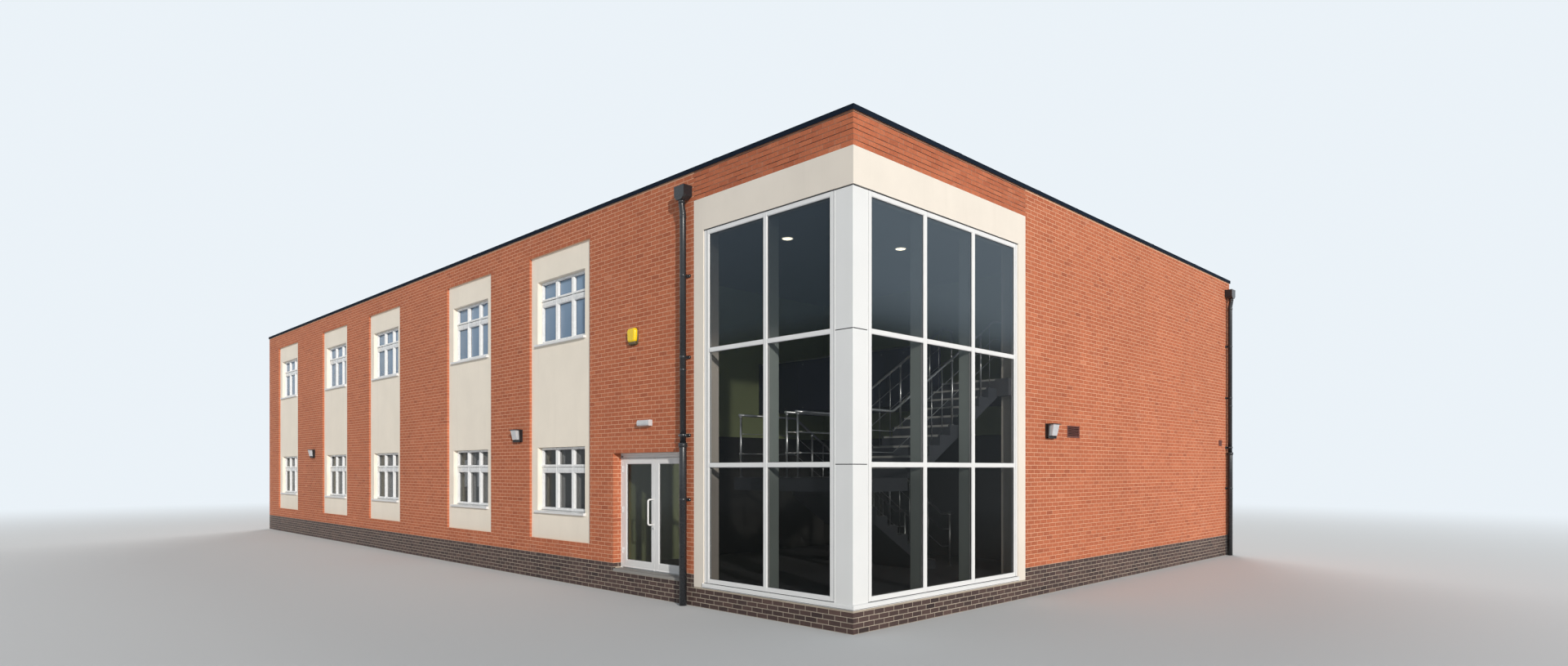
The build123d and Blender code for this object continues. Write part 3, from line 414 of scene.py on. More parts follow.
# the tints by height are painted sky reflection over dark glass
glassFinish("paneGlass", [(2.6, (0.020, 0.024, 0.024), 0.42), (2.9, (0.020, 0.024, 0.026), 0.42),
                          (4.9, (0.21, 0.335, 0.50), 0.58), (6.1, (0.29, 0.435, 0.62), 0.64)])
glassFinish("cornerPane", [(2.1, (0.003, 0.004, 0.004), 0.40), (2.4, (0.005, 0.007, 0.009), 0.30),
                           (4.1, (0.008, 0.012, 0.016), 0.28), (4.5, (0.028, 0.042, 0.054), 0.50),
                           (6.1, (0.040, 0.058, 0.078), 0.62)],
            0.14, (0, 14.2, 14.3, (0.085, 0.115, 0.145)))
glassFinish("doorPane", [(0.5, (0.014, 0.015, 0.012), 0.42), (2.4, (0.022, 0.026, 0.024), 0.48)], 0.4)
shadeDadoFinish("hallDadoShade", (0.50, 0.58, 0.30), (0.045, 0.045, 0.042), 2.95, -4.86)
steelFinish("railSteel", (0.62, 0.63, 0.63), 0.32)
steelFinish("boltSteel", (0.50, 0.50, 0.50), 0.35)
opalFinish("lampDiffuser", (0.95, 0.91, 0.78), 2.2)
opalFinish("lensClear", (0.56, 0.57, 0.60), 0.0, 0.12)
opalFinish("doorLightOpal", (0.62, 0.63, 0.65), 0.0, 0.35)
print("finishes ready", len(finishes))


# mesh tools
def onAxis(axis, t, a, b):
    return {"x": (t, a, b), "y": (a, t, b), "z": (a, b, t)}[axis]


def addFace(bm, points, finish, smooth=False):
    face = bm.faces.new(points)
    face.material_index = finish
    face.smooth = smooth


def addSkin(bm, rings, finish, smooth=False):
    for one, two in zip(rings, rings[1:]):
        for i in range(len(one)):
            addFace(bm, (one[i - 1], one[i], two[i], two[i - 1]), finish, smooth)


def addLoops(bm, loops, finish=0, smooth=False):
    # a skin over loops of points, closed at both ends
    rings = [[bm.verts.new(point) for point in loop] for loop in loops]
    addSkin(bm, rings, finish, smooth)
    addFace(bm, rings[0][::-1], finish)
    addFace(bm, rings[-1], finish)
    return [vert for ring in rings for vert in ring]


def addBlock(bm, low, high, finish=0):
    (x0, y0, z0), (x1, y1, z1) = low, high
    addLoops(bm, [[(x0, y0, z), (x1, y0, z), (x1, y1, z), (x0, y1, z)] for z in (z0, z1)], finish)


def addPrism(bm, outline, start, end, axis="x", finish=0):
    return addLoops(bm, [[onAxis(axis, t, a, b) for a, b in outline] for t in (start, end)], finish)


def addMitred(bm, low, high, profile, finish=0):
    # a frame of one profile, mitred round a rectangle; each corner of the profile is (inset, level)
    rings = []
    for inset, level in profile:
        x0, y0, x1, y1 = low[0] + inset, low[1] + inset, high[0] - inset, high[1] - inset
        corners = ((x0, y0, level), (x1, y0, level), (x1, y1, level), (x0, y1, level))
        rings.append([bm.verts.new(point) for point in corners])
    addSkin(bm, rings + rings[:1], finish)


def softCorners(points, radius, steps=6):
    path = [Vector(points[0])]
    for before, corner, after in zip(points, points[1:], points[2:]):
        corner = Vector(corner)
        inward = (Vector(before) - corner).normalized()
        outward = (Vector(after) - corner).normalized()
        angle = inward.angle(outward)
        reach = radius / math.tan(angle / 2)
        centre = corner + (inward + outward).normalized() * (radius / math.sin(angle / 2))
        start, end = corner + inward * reach - centre, corner + outward * reach - centre
        for step in range(steps + 1):
            path.append(centre + start.slerp(end, step / steps) * radius)
    path.append(Vector(points[-1]))
    return path


def addTube(bm, path, radius, sides=16, finish=0, smooth=True):
    path = [Vector(point) for point in path]
    headings = [(b - a).normalized() for a, b in zip(path, path[1:])]
    across = headings[0].orthogonal().normalized()
    turns = [2 * math.pi * side / sides for side in range(sides)]
    loops = []
    for i, point in enumerate(path):
        along = (headings[max(0, i - 1)] + headings[min(len(headings) - 1, i)]).normalized()
        across = (across - along * across.dot(along)).normalized()
        other = along.cross(across)
        size = radius[i] if isinstance(radius, list) else radius
        loops.append([point + (across * math.cos(turn) + other * math.sin(turn)) * size for turn in turns])
    addLoops(bm, loops, finish, smooth)


def addTurned(bm, centre, profile, axis="z", sides=16, finish=0, smooth=True):
    # a turned shape; each point of the profile is (level, radius) on an axis through the centre
    path = [onAxis(axis, level, *centre) for level, radius in profile]
    addTube(bm, path, [radius for level, radius in profile], sides, finish, smooth)


def roundedRing(centre, width, height, radius, level, steps=6):
    ring = []
    for cx, cy, start in ((1, 1, 0), (-1, 1, 90), (-1, -1, 180), (1, -1, 270)):
        for step in range(steps + 1):
            turn = math.radians(start + 90 * step / steps)
            ring.append((centre[0] + cx * (width / 2 - radius) + radius * math.cos(turn),
                         centre[1] + cy * (height / 2 - radius) + radius * math.sin(turn), level))
    return ring


sharpEdge = math.radians(35)
triangleCount = {}


def softenEdges(bm, width):
    edges = []
    for edge in bm.edges:
        sides = edge.link_faces
        angular = len(sides) == 2 and not (sides[0].smooth and sides[1].smooth)
        if angular and edge.calc_face_angle(0) > sharpEdge:
            edges.append(edge)
    if edges:
        bmesh.ops.bevel(bm, geom=edges, offset=width, segments=1, affect="EDGES", clamp_overlap=True)


def placed(points, place):
    matrix = np.array(place)
    return points @ matrix[:3, :3].T + matrix[:3, 3]


def newMesh(name, points, faces, finishNames):
    mesh = bpy.data.meshes.new(name)
    mesh.from_pydata(points.tolist(), [], faces)
    for finishName in finishNames:
        mesh.materials.append(finishes[finishName])
    triangleCount[name] = sum(len(face) - 2 for face in faces)
    return mesh


def finishSolid(nodeName, material):
    solid = nodes[nodeName]
    if not solid.material_slots:
        solid.data.materials.append(material)
    for slot in solid.material_slots:
        slot.material = material


def addPiece(name, mesh, slotName, body="building", replaces=()):
    mesh.update()
    piece = bpy.data.objects.new(name, mesh)
    worldScene.collection.objects.link(piece)
    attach(piece, body)
    if replaces:
        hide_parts(*replaces)
    # the solids that a piece stands for take its first finish
    for nodeName in replaces:
        finishSolid(nodeName, mesh.materials[0])


def makePiece(name, bm, finishNames, slotName, places=(Matrix.Identity(4),), soften=0.0, **riding):
    bmesh.ops.recalc_face_normals(bm, faces=bm.faces)
    if soften:
        softenEdges(bm, soften)
    bm.verts.index_update()
    points = np.array([vert.co[:] for vert in bm.verts])
    faces = [[vert.index for vert in face.verts] for face in bm.faces]
    settings = {"material_index": [face.material_index for face in bm.faces],
                "use_smooth": [face.smooth for face in bm.faces]}
    bm.free()
    copies = range(len(places))
    allFaces = [[index + copy * len(points) for index in face] for copy in copies for face in faces]
    allPoints = np.concatenate([placed(points, place) for place in places])
    mesh = newMesh(name, allPoints, allFaces, finishNames)
    for setting, values in settings.items():
        mesh.polygons.foreach_set(setting, values * len(places))
    addPiece(name, mesh, slotName, **riding)


# brickwork: every brick stands a little proud of the mortar that the CAD walls carry
brickFaces = [(8, 9, 10, 11), (4, 5, 9, 8), (5, 6, 10, 9), (6, 7, 11, 10), (7, 4, 8, 11),
              (0, 1, 5, 4), (1, 2, 6, 5), (2, 3, 7, 6), (3, 0, 4, 7)]


def addBrick(shell, x0, x1, y0, y1, footLeft, footRight):
    lift = bricks["proud"] + random.uniform(-bricks["lift"], bricks["lift"])
    faceLevels = [lift + random.uniform(-1, 1) * bricks["tilt"] for corner in range(4)]
    c = bricks["chamfer"] * random.uniform(0.7, 1.5)
    outline = [(x0, y0), (x1, y0), (x1, y1), (x0, y1)]
    inner = [(x0 + c, y0 + c), (x1 - c, y0 + c), (x1 - c, y1 - c), (x0 + c, y1 - c)]
    start = len(shell["points"])
    shell["points"] += [(x, y, z) for (x, y), z in zip(outline, (footLeft, footRight, footRight, footLeft))]
    shell["points"] += [(x, y, z - c) for (x, y), z in zip(outline, faceLevels)]
    shell["points"] += [(x, y, z) for (x, y), z in zip(inner, faceLevels)]
    shell["faces"] += [[start + i for i in quad] for quad in brickFaces]
    tone = min(1.0, max(0.0, random.gauss(*bricks["tone"])))
    if random.random() < bricks["darkShare"]:
        tone = random.uniform(*bricks["darkTone"])
    shell["tones"] += [tone] * len(brickFaces)


def brickEnd(atEdge, turns):
    # an end lies in a joint, runs round an edge or meets another face: its inset and how deep it goes
    if not atEdge:
        return bricks["joint"] / 2, -bricks["foot"]
    return (-bricks["proud"], -bricks["return"]) if turns else (0.0, -bricks["foot"])


def holesAt(holes, level):
    return sorted((a, b) for a, b, low, high in holes if low < level < high)


def layBricks(name, place, span, rows, finish, holes=(), corners=True):
    shell = {"points": [], "faces": [], "tones": []}
    start, end = span
    course, half, shortest = bricks["course"], bricks["joint"] / 2, bricks["shortest"]
    pitch = (end - start) / max(1, round((end - start) / bricks["pitch"]))
    if abs(pitch - bricks["pitch"]) > 0.004:
        pitch = bricks["pitch"]
    for bottom, row in rows:
        middle = bottom + course / 2
        above, below = holesAt(holes, middle + course), holesAt(holes, middle - course)
        intervals, cursor = [], start
        for a, b in holesAt(holes, middle) + [(end, end)]:
            if a > cursor + 0.01:
                intervals.append((cursor, a))
            cursor = max(cursor, b)
        offset = (row % 2) * pitch / 2
        joints = [start + offset + i * pitch for i in range(-1, int((end - start) / pitch) + 2)]
        for a, b in intervals:
            marks = [a] + [joint for joint in joints if a + shortest < joint < b - shortest] + [b]
            for left, right in zip(marks, marks[1:]):
                insetLeft, footLeft = brickEnd(left == a, a > start or corners)
                insetRight, footRight = brickEnd(right == b, b < end or corners)
                # over and under an opening the brick runs on past its joint
                centre = (left + right) / 2
                low, high = (any(p < centre < q for p, q in gaps) for gaps in (below, above))
                y0 = bottom - bricks["lap"] if low else bottom + half
                y1 = bottom + course + (bricks["lap"] if high else -half)
                addBrick(shell, left + insetLeft, right - insetRight, y0, y1, footLeft, footRight)
    mesh = newMesh(name, placed(np.array(shell["points"]), place), shell["faces"], [finish])
    tone = mesh.attributes.new("tone", "FLOAT", "FACE")
    tone.data.foreach_set("value", shell["tones"])
    addPiece(name, mesh, "dark_brick" if finish == "plinthBrick" else "red_brick")


walls = {"plinthTop": 0.525, "brickTop": 7.155, "plinthCourses": 7, "stripHalf": 1.165, "stripFoot": 0.825,
         "stripHead": 6.675, "baseTop": 0.26, "stepTop": 0.32, "cornerLeft": 10.965, "cornerBack": -3.01,
         "vents": [(-1.46, -0.96, 2.85, 3.075), (6.8525, 7.0775, 2.85, 3.0)]}
door = {"left": 8.6, "right": 10.7, "foot": 0.425, "head": 2.55, "front": -0.18, "frameBack": -0.26,
        "leafBack": -0.23, "stopFront": -0.2325, "face": 0.06, "top": 0.085, "clear": 0.065, "gap": 0.010,
        "leafLow": 0.446, "leafHigh": 2.459, "stile": 0.10, "topRail": 0.095, "footRail": 0.13,
        "hingeInset": 0.0625, "hinges": (0.25, 1.0, 1.75), "lock": 1.20}
course = bricks["course"]
courses = int((walls["brickTop"] - walls["plinthTop"]) / course)
wallRows = [(walls["plinthTop"] + course * i, i) for i in range(courses)]
plinthRows = [(course * i, i + 1) for i in range(walls["plinthCourses"])]
baseRows = [row for row in plinthRows if row[0] < walls["baseTop"]]
stepRows = [row for row in plinthRows if row[0] < walls["stepTop"]]
footRows = plinthRows[-1:]
revealRows = [row for row in wallRows if row[0] + course / 2 < door["head"]]

# openings in the brickwork: left, right, foot and head; one at a corner runs on past it
stripHalf, stripFoot, stripHead = walls["stripHalf"], walls["stripFoot"], walls["stripHead"]
stripHoles = {face: [(x - stripHalf, x + stripHalf, stripFoot, stripHead) for x in middles]
              for face, middles in strips.items()}
cornerLeft, cornerBack = walls["cornerLeft"], walls["cornerBack"]
frontEnd, sideEnd = halfLength + 0.1, halfDepth + 0.1
wallHoles = {
    "front": [(door["left"], door["right"], door["foot"], door["head"]),
              (cornerLeft, frontEnd, 0.0, stripHead)],
    "side": [(-sideEnd, cornerBack, 0.0, stripHead), *walls["vents"]],
}
for face, half in halfWidths.items():
    layBricks(face + "_bricks", wallFaces[face], (-half, half), wallRows, "redBrick",
              stripHoles[face] + wallHoles.get(face, []))
for name, face, rows, holes in (
        ("front_plinth_bricks", "front", plinthRows, [(door["left"], door["right"]), (cornerLeft, frontEnd)]),
        ("side_plinth_bricks", "side", plinthRows, [(-sideEnd, cornerBack)]),
        ("back_plinth_bricks", "back", plinthRows, []),
        ("front_base_bricks", "front", baseRows, [(-frontEnd, cornerLeft)]),
        ("side_base_bricks", "side", baseRows, [(cornerBack, sideEnd)]),
        ("end_plinth_bricks", "end", plinthRows, [])):
    half = halfWidths[face]
    holes = [(*hole, 0.0, walls["plinthTop"] + course) for hole in holes]
    layBricks(name, wallFaces[face], (-half, half), rows, "plinthBrick", holes)
# returns of the entrance and the bricks under its step
leftReveal = facePlane((1, 0, 0), door["left"])
rightReveal = facePlane((-1, 0, 0), -door["right"])
frameLine = -halfDepth - door["front"]
for name, place, span, rows, finish in (
        ("left_reveal_bricks", leftReveal, (-halfDepth, frameLine), revealRows, "redBrick"),
        ("right_reveal_bricks", rightReveal, (-frameLine, halfDepth), revealRows, "redBrick"),
        ("step_bricks", wallFaces["front"], (door["left"], door["right"]), stepRows, "plinthBrick"),
        ("left_reveal_foot", leftReveal, (-halfDepth, frameLine), footRows, "plinthBrick"),
        ("right_reveal_foot", rightReveal, (-frameLine, halfDepth), footRows, "plinthBrick")):
    layBricks(name, place, span, rows, finish, corners=False)
print("brickwork laid", sum(triangleCount.values()))


# windows
window = {"half": 0.915, "height": 1.35, "light": 0.50333, "pitch": 0.61333, "main": (0.12, 0.825),
          "top": (1.0, 1.30), "front": -0.16, "back": -0.23, "lap": 0.046, "pane": -0.1995, "rim": 0.018,
          "mullion": 0.055, "hinges": (0.25, 0.70, 1.06, 1.24), "storeys": (1.35, 4.80)}
windowPlaces = [shifted(face, x, y) for face in ("front", "back", "end") for x in strips[face]
                for y in window["storeys"]]


def buildWindowFrames():
    bm = bmesh.new()
    half, height, pitch, rim = window["half"], window["height"], window["pitch"], window["rim"]
    front, back, lap, pane = window["front"], window["back"], window["lap"], window["pane"]
    addMitred(bm, (-half - rim, -rim), (half + rim, height + rim),
              [(0, back), (0, front - 0.004), (0.018, front - 0.004), (0.022, front), (0.060, front),
               (0.068, front - 0.012), (0.068, back)])
    for middle in (-pitch / 2, pitch / 2):
        addBlock(bm, (middle - window["mullion"], 0.05, back),
                 (middle + window["mullion"], height - 0.05, front - 0.003))
    for low, high in ((window["main"][1], window["top"][0]), (0.03, window["main"][0])):
        addBlock(bm, (-half + 0.03, low, back + 0.002), (half - 0.03, high, front - 0.006))
    sash = [(0, front - 0.012), (0, front + 0.014), (0.004, front + 0.018), (0.028, front + 0.018),
            (0.032, front + 0.013), (0.041, front + 0.010), (0.045, front - 0.004), (0.048, front - 0.024),
            (0.048, pane), (0.030, pane)]
    for middle in (-pitch, 0, pitch):
        left, right = middle - window["light"] / 2, middle + window["light"] / 2
        for low, high in (window["main"], window["top"]):
            addMitred(bm, (left - lap, low - lap), (right + lap, high + lap), sash)
            addMitred(bm, (left + 0.002, low + 0.002), (right - 0.002, high - 0.002),
                      [(0, pane), (0, pane + 0.005), (0.006, pane + 0.003), (0.006, pane)], 1)
            # weather bar on each sash foot
            foot, out = low - lap, front + 0.018
            addPrism(bm, [(foot - 0.006, out), (foot - 0.006, out + 0.008), (foot + 0.004, out + 0.010),
                          (foot + 0.016, out)], left - lap + 0.006, right + lap - 0.006)
        # transom bar, with a thin black sheet of painted shadow in the gap under the upper sash
        addPrism(bm, [(0.8725, front - 0.006), (0.8725, front + 0.012), (0.877, front + 0.0165),
                      (0.934, front + 0.0165), (0.939, front + 0.012), (0.939, front - 0.006)],
                 left - lap, right + lap)
        addBlock(bm, (left - lap, 0.9392, front - 0.006), (right + lap, 0.9535, front - 0.0055), 1)
    for x in (-half + 0.052, half - 0.052):
        for level in window["hinges"]:
            addTurned(bm, (x, front + 0.012), [(level, 0.006), (level + 0.05, 0.006)], "y", 8)
    makePiece("windowFrameSet", bm, ["windowWhite", "gasketAndShadeBlack"], "window_white", windowPlaces,
              replaces=["window_frames"])


def buildWindowSills():
    bm = bmesh.new()
    half = window["half"]
    addPrism(bm, [(0.0, -0.10), (0.0, -0.02), (0.008, -0.018), (0.008, -0.004), (0.0, -0.002),
                  (-0.001, 0.006), (0.004, 0.0095), (0.036, 0.0100), (0.041, 0.008), (0.043, 0.0),
                  (0.062, -0.158), (0.062, -0.165), (0.0, -0.165)], -half, half)
    for side in (-1, 1):
        far = side * (half + 0.035)
        addPrism(bm, [(0.0, -0.049), (0.0, 0.004), (0.004, 0.0105), (0.037, 0.011), (0.044, 0.006),
                      (0.0490, -0.049)], side * (half - 0.001), far - side * 0.003)
        addPrism(bm, [(-0.002, -0.049), (-0.002, 0.006), (0.004, 0.0125), (0.038, 0.0125), (0.0465, 0.007),
                      (0.0520, -0.049)], far - side * 0.006, far)
    makePiece("windowSillSet", bm, ["sillWhite"], "sill_white", windowPlaces, 0.0012,
              replaces=["window_sills"])

    # board and mullion linings inside each window
    bm = bmesh.new()
    addBlock(bm, (-half - 0.015, -0.018, -0.36), (half + 0.015, 0.004, -0.232))
    for middle in (-window["pitch"] / 2, window["pitch"] / 2):
        addBlock(bm, (middle - 0.030, 0.0035, -0.325), (middle + 0.030, window["height"] + 0.016, -0.2295))
    makePiece("insideLinings", bm, ["sillWhite"], "sill_white", windowPlaces, 0.002)


buildWindowFrames()
buildWindowSills()
print("windows built", triangleCount["windowFrameSet"])


# glazed corner
corner = {"sill": 0.40, "head": 6.15, "front": -0.015, "back": -0.075, "pane": -0.037, "mullion": 0.082,
          "rows": [(0.475, 2.285), (2.355, 4.15), (4.22, 6.065)]}
screens = {
    "front": {"left": 11.21, "right": 14.04, "leftJamb": 0.12, "rightJamb": 0.085, "columns": 2},
    "side": {"left": -7.315, "right": -3.255, "leftJamb": 0.085, "rightJamb": 0.10, "columns": 3},
}
post = {"x": 14.385, "y": -7.635, "thick": 0.058, "panels": ((0.40, 2.317), (2.330, 4.182), (4.195, 6.132))}


def paneSpans(screen):
    start, end = screen["left"] + screen["leftJamb"], screen["right"] - screen["rightJamb"]
    step = (end - start + corner["mullion"]) / screen["columns"]
    return [(start + i * step, start + (i + 1) * step - corner["mullion"]) for i in range(screen["columns"])]


def leftOver(start, spans, end):
    edges = [start, *(edge for span in spans for edge in span), end]
    return zip(edges[::2], edges[1::2])


def buildScreens():
    front, back, pane = corner["front"], corner["back"], corner["pane"]
    low, high, rows = corner["sill"], corner["head"], corner["rows"]
    for face, screen in screens.items():
        bm = bmesh.new()
        left, right, spans = screen["left"], screen["right"], paneSpans(screen)
        for a, b in leftOver(left, spans, right):
            addBlock(bm, (a, low, back), (b, high, front - 0.005))
            c, d = a + 0.007, b - 0.007
            addPrism(bm, [(c, front - 0.006), (c, front - 0.0015), (c + 0.0015, front), (d - 0.0015, front),
                          (d, front - 0.0015), (d, front - 0.006)], low, high, "y")
            if b - a > 0.095:
                groove = b - 0.045 if a == left else a + 0.045
                # a black line of painted shade for the groove in the jamb
                addBlock(bm, (groove - 0.003, low + 0.01, front - 0.001),
                         (groove + 0.003, high - 0.01, front + 0.0004), 1)
        for a, b in leftOver(low, rows, high):
            bead = [(a + 0.006, front - 0.006), (a + 0.006, front - 0.0025), (a + 0.008, front - 0.0006),
                    (b - 0.008, front - 0.0006), (b - 0.006, front - 0.0025), (b - 0.006, front - 0.006)]
            for x0, x1 in spans:
                addBlock(bm, (x0, a, back), (x1, b, front - 0.0055))
                addPrism(bm, bead, x0 - 0.002, x1 + 0.002)
        for x0, x1 in spans:
            for a, b in rows:
                addMitred(bm, (x0 - 0.004, a - 0.004), (x1 + 0.004, b + 0.004),
                          [(0, front - 0.006), (0.003, front - 0.007), (0.006, front - 0.012),
                           (0.006, pane + 0.0005), (0, pane + 0.0005)])
                addMitred(bm, (x0 + 0.001, a + 0.001), (x1 - 0.001, b - 0.001),
                          [(0, pane), (0, pane + 0.004), (0.008, pane + 0.002), (0.008, pane)], 1)
        # black strips of painted shade: a shadow line over the sill and a shadow gap under the rendered band
        addBlock(bm, (left + 0.002, low, front - 0.004), (right - 0.002, low + 0.009, front + 0.0012), 1)
        addBlock(bm, (left, high - 0.016, front - 0.004), (right, high - 0.0005, front + 0.0025), 1)
        makePiece(face + "CornerScreen", bm, ["cornerWhite", "gasketAndShadeBlack"], "corner_white",
                  [wallFaces[face]], replaces=["corner_frames"])


def buildCornerPost():
    bm = bmesh.new()
    x, y, thick = post["x"], post["y"], post["thick"]
    frontEdge, sideEdge = screens["front"]["right"], screens["side"]["left"]
    foot, head = post["panels"][0][0], post["panels"][-1][1]
    for low, high in post["panels"]:
        addPrism(bm, [(frontEdge, y), (x - 0.006, y), (x - 0.0018, y + 0.0018), (x, y + 0.006), (x, sideEdge),
                      (x - thick, sideEdge), (x - thick, y + thick), (frontEdge, y + thick)], low, high, "z")
    # dark core of painted shade, showing in the panel joints
    a, b, c, d = frontEdge + 0.004, x - 0.005, y + 0.005, sideEdge - 0.004
    addPrism(bm, [(a, c), (b, c), (b, d), (x - thick, d), (x - thick, y + thick), (a, y + thick)],
             foot, 6.149, "z", 1)
    # dark seam and slim folded edge where each panel meets its screen
    low, high = foot + 0.009, head - 0.001
    addBlock(bm, (frontEdge - 0.0085, y - 0.0022, low), (frontEdge - 0.0008, y + 0.006, high), 1)
    addBlock(bm, (x - 0.006, sideEdge + 0.0008, low), (x + 0.0022, sideEdge + 0.0085, high), 1)
    addBlock(bm, (frontEdge - 0.001, y - 0.0025, foot), (frontEdge + 0.016, y + 0.01, head))
    addBlock(bm, (x - 0.01, sideEdge - 0.016, foot), (x + 0.0025, sideEdge + 0.001, head))
    makePiece("cornerPostPanels", bm, ["postWhite", "gasketAndShadeBlack"], "post_white", soften=0.0015,
              replaces=["corner_post"])


def buildCornerSill():
    bm = bmesh.new()
    left, back = screens["front"]["left"], screens["side"]["right"]
    # each point of the section is (outwards, level)
    section = [(-0.075, 0.325), (0.012, 0.325), (0.0125, 0.331), (0.020, 0.331), (0.020, 0.383),
               (0.014, 0.392), (-0.010, 0.3998), (-0.075, 0.3998)]
    addLoops(bm, [[(left, -halfDepth - out, level) for out, level in section],
                  [(halfLength + out, -halfDepth - out, level) for out, level in section],
                  [(halfLength + out, back, level) for out, level in section]])
    # end caps, then a black strip of painted shade for the drip groove low on the nose
    for x0, x1, y0, y1 in (
            (left - 0.006, left - 0.0015, -halfDepth - 0.0215, -halfDepth + 0.05),
            (halfLength - 0.05, halfLength + 0.0215, back - 0.0015, back + 0.003)):
        addBlock(bm, (x0, y0, 0.323), (x1, y1, 0.402))
    addBlock(bm, (left, -halfDepth - 0.0206, 0.3335), (halfLength + 0.0206, -halfDepth - 0.01, 0.3395), 1)
    addBlock(bm, (halfLength + 0.01, -halfDepth - 0.0202, 0.3332),
             (halfLength + 0.0207, back - 0.003, 0.3392), 1)
    makePiece("cornerSillCap", bm, ["cornerWhite", "gasketAndShadeBlack"], "corner_white", replaces=["corner_sill"])


buildScreens()
buildCornerPost()
buildCornerSill()
print("glazed corner built")


# coping, in one mitred ring of folded sheet with jointing straps, and the roof's laps and upstands
coping = {"outer": -0.025, "inner": 0.355, "top": 7.225, "back": 7.208, "foot": 7.150, "sheet": 0.004,
          "strap": 0.10, "spacing": 3.0}
roof = {"edge": 6.80, "ridge": 6.92, "halfX": 14.07, "halfY": 7.32, "sheets": 15, "lap": 0.05, "thick": 0.006}


def buildCoping():
    bm = bmesh.new()
    outer, inner, top, back, foot, sheet, width, spacing = coping.values()
    addMitred(bm, (-halfLength, -halfDepth), (halfLength, halfDepth), [
        (outer, foot + 0.006), (outer, top - 0.004), (outer + 0.004, top), (inner - 0.004, back),
        (inner, back - 0.004), (inner, foot), (inner - sheet, foot), (inner - sheet, back - 0.008),
        (outer + sheet, top - 0.008), (outer + sheet, foot + 0.008), (outer + sheet, foot - 0.001),
        (outer - 0.001, foot)])
    strap = [(outer - 0.0012, foot + 0.004), (outer - 0.0012, top), (outer + 0.003, top + 0.0016),
             (inner - 0.003, back + 0.0016), (inner + 0.0012, back), (inner + 0.0012, foot + 0.004),
             (inner - 0.001, foot + 0.004), (inner - 0.001, back - 0.002), (outer + 0.001, top - 0.002),
             (outer + 0.001, foot + 0.004)]
    for face, half in halfWidths.items():
        count = int(2 * half // spacing)
        for n in range(1, count + 1):
            x = -half + n * 2 * half / (count + 1)
            verts = addPrism(bm, [(y, -inset) for inset, y in strap], x - width / 2, x + width / 2)
            bmesh.ops.transform(bm, matrix=wallFaces[face], verts=verts)
    makePiece("copingRing", bm, ["copingPowder"], "coping_metal", replaces=["coping"])


def buildRoof():
    bm = bmesh.new()
    edge, ridge, halfX, halfY, sheets, lap, thick = roof.values()
    for n in range(1, sheets):
        x = -halfX + n * 2 * halfX / sheets
        for side in (-1, 1):
            addLoops(bm, [[(x - lap, y, z), (x + lap, y, z), (x + lap, y, z + thick), (x - lap, y, z + thick)]
                          for y, z in ((side * 0.01, ridge), (side * halfY, edge))])
    addPrism(bm, [(-0.09, ridge - 0.001), (0.09, ridge - 0.001), (0.0, ridge + 0.008)], -halfX, halfX)
    upstands = ((halfY, halfX, "x", 0.06, 0.10, 0.26), (halfX, halfY, "y", 0.15, 0.18, 0.29))
    for side in (-1, 1):
        for wall, reach, axis, bend, top, cap in upstands:
            outline = [(wall, 0.0), (wall - 0.10, 0.002), (wall - 0.03, bend), (wall - 0.006, top),
                       (wall - 0.006, cap), (wall, cap + 0.002)]
            addPrism(bm, [(side * out, edge + up) for out, up in outline], -reach, reach, axis)
        y, x = side * (halfY - 0.004), side * (halfX - 0.004)
        addBlock(bm, (-halfX, y - 0.006, edge + 0.256), (halfX, y + 0.004, edge + 0.30), 1)
        addBlock(bm, (x - 0.005, -halfY, edge + 0.286), (x + 0.005, halfY, edge + 0.33), 1)
    makePiece("roofLaps", bm, ["roofMembrane", "railSteel"], "roof_membrane")


buildCoping()
buildRoof()
print("coping and roof built")


# entrance doors
leafWidth = (door["right"] - door["left"] - 2 * door["clear"] - door["gap"]) / 2
leaves = {"left_door": door["left"] + door["clear"], "right_door": door["right"] - door["clear"] - leafWidth}


def buildDoorFrame():
    bm = bmesh.new()
    left, right, foot, head, front = (door[k] for k in ("left", "right", "foot", "head", "front"))
    back, face, stop, under = door["frameBack"], door["face"], door["stopFront"], head - door["top"]
    for edge, side, seal in ((left, 1, 0.016), (right, -1, 0.004)):
        inner = edge + side * face
        addBlock(bm, (edge, foot, back), (inner, head, front - 0.006))
        addBlock(bm, (edge + side * 0.004, foot + 0.001, front - 0.0065),
                 (inner - side * 0.004, head - 0.004, front))
        addBlock(bm, (inner, foot + 0.015, back + 0.004), (inner + side * 0.018, under, stop))
        addBlock(bm, (inner, foot + 0.015, stop), (inner + side * seal, under, stop + 0.0013), 1)
        # sealant fillet against the brick reveal
        fillet = [(edge, front), (edge + side * 0.006, front), (edge, front + 0.006)]
        addPrism(bm, fillet, foot, head - 0.004, "y")
    addBlock(bm, (left, under, back), (right, head, front - 0.007))
    for low, high, out in ((under + 0.002, head - 0.046, 0.0), (head - 0.042, head - 0.004, 0.0015)):
        addBlock(bm, (left + 0.004, low, front - 0.0075), (right - 0.004, high, front + out))
    addBlock(bm, (left + face, under - 0.018, back + 0.004), (right - face, under, stop))
    addBlock(bm, (left + face, foot, back), (right - face, foot + 0.015, front - 0.001), 2)
    for n in range(5):
        z = front - 0.008 - n * 0.014
        addBlock(bm, (left + face, foot + 0.0145, z - 0.004), (right - face, foot + 0.0168, z), 2)
    makePiece("doorFrameSet", bm, ["doorWhite", "gasketAndShadeBlack", "railSteel"], "door_white",
              [wallFaces["front"]], 0.0014, replaces=["door_frame"])


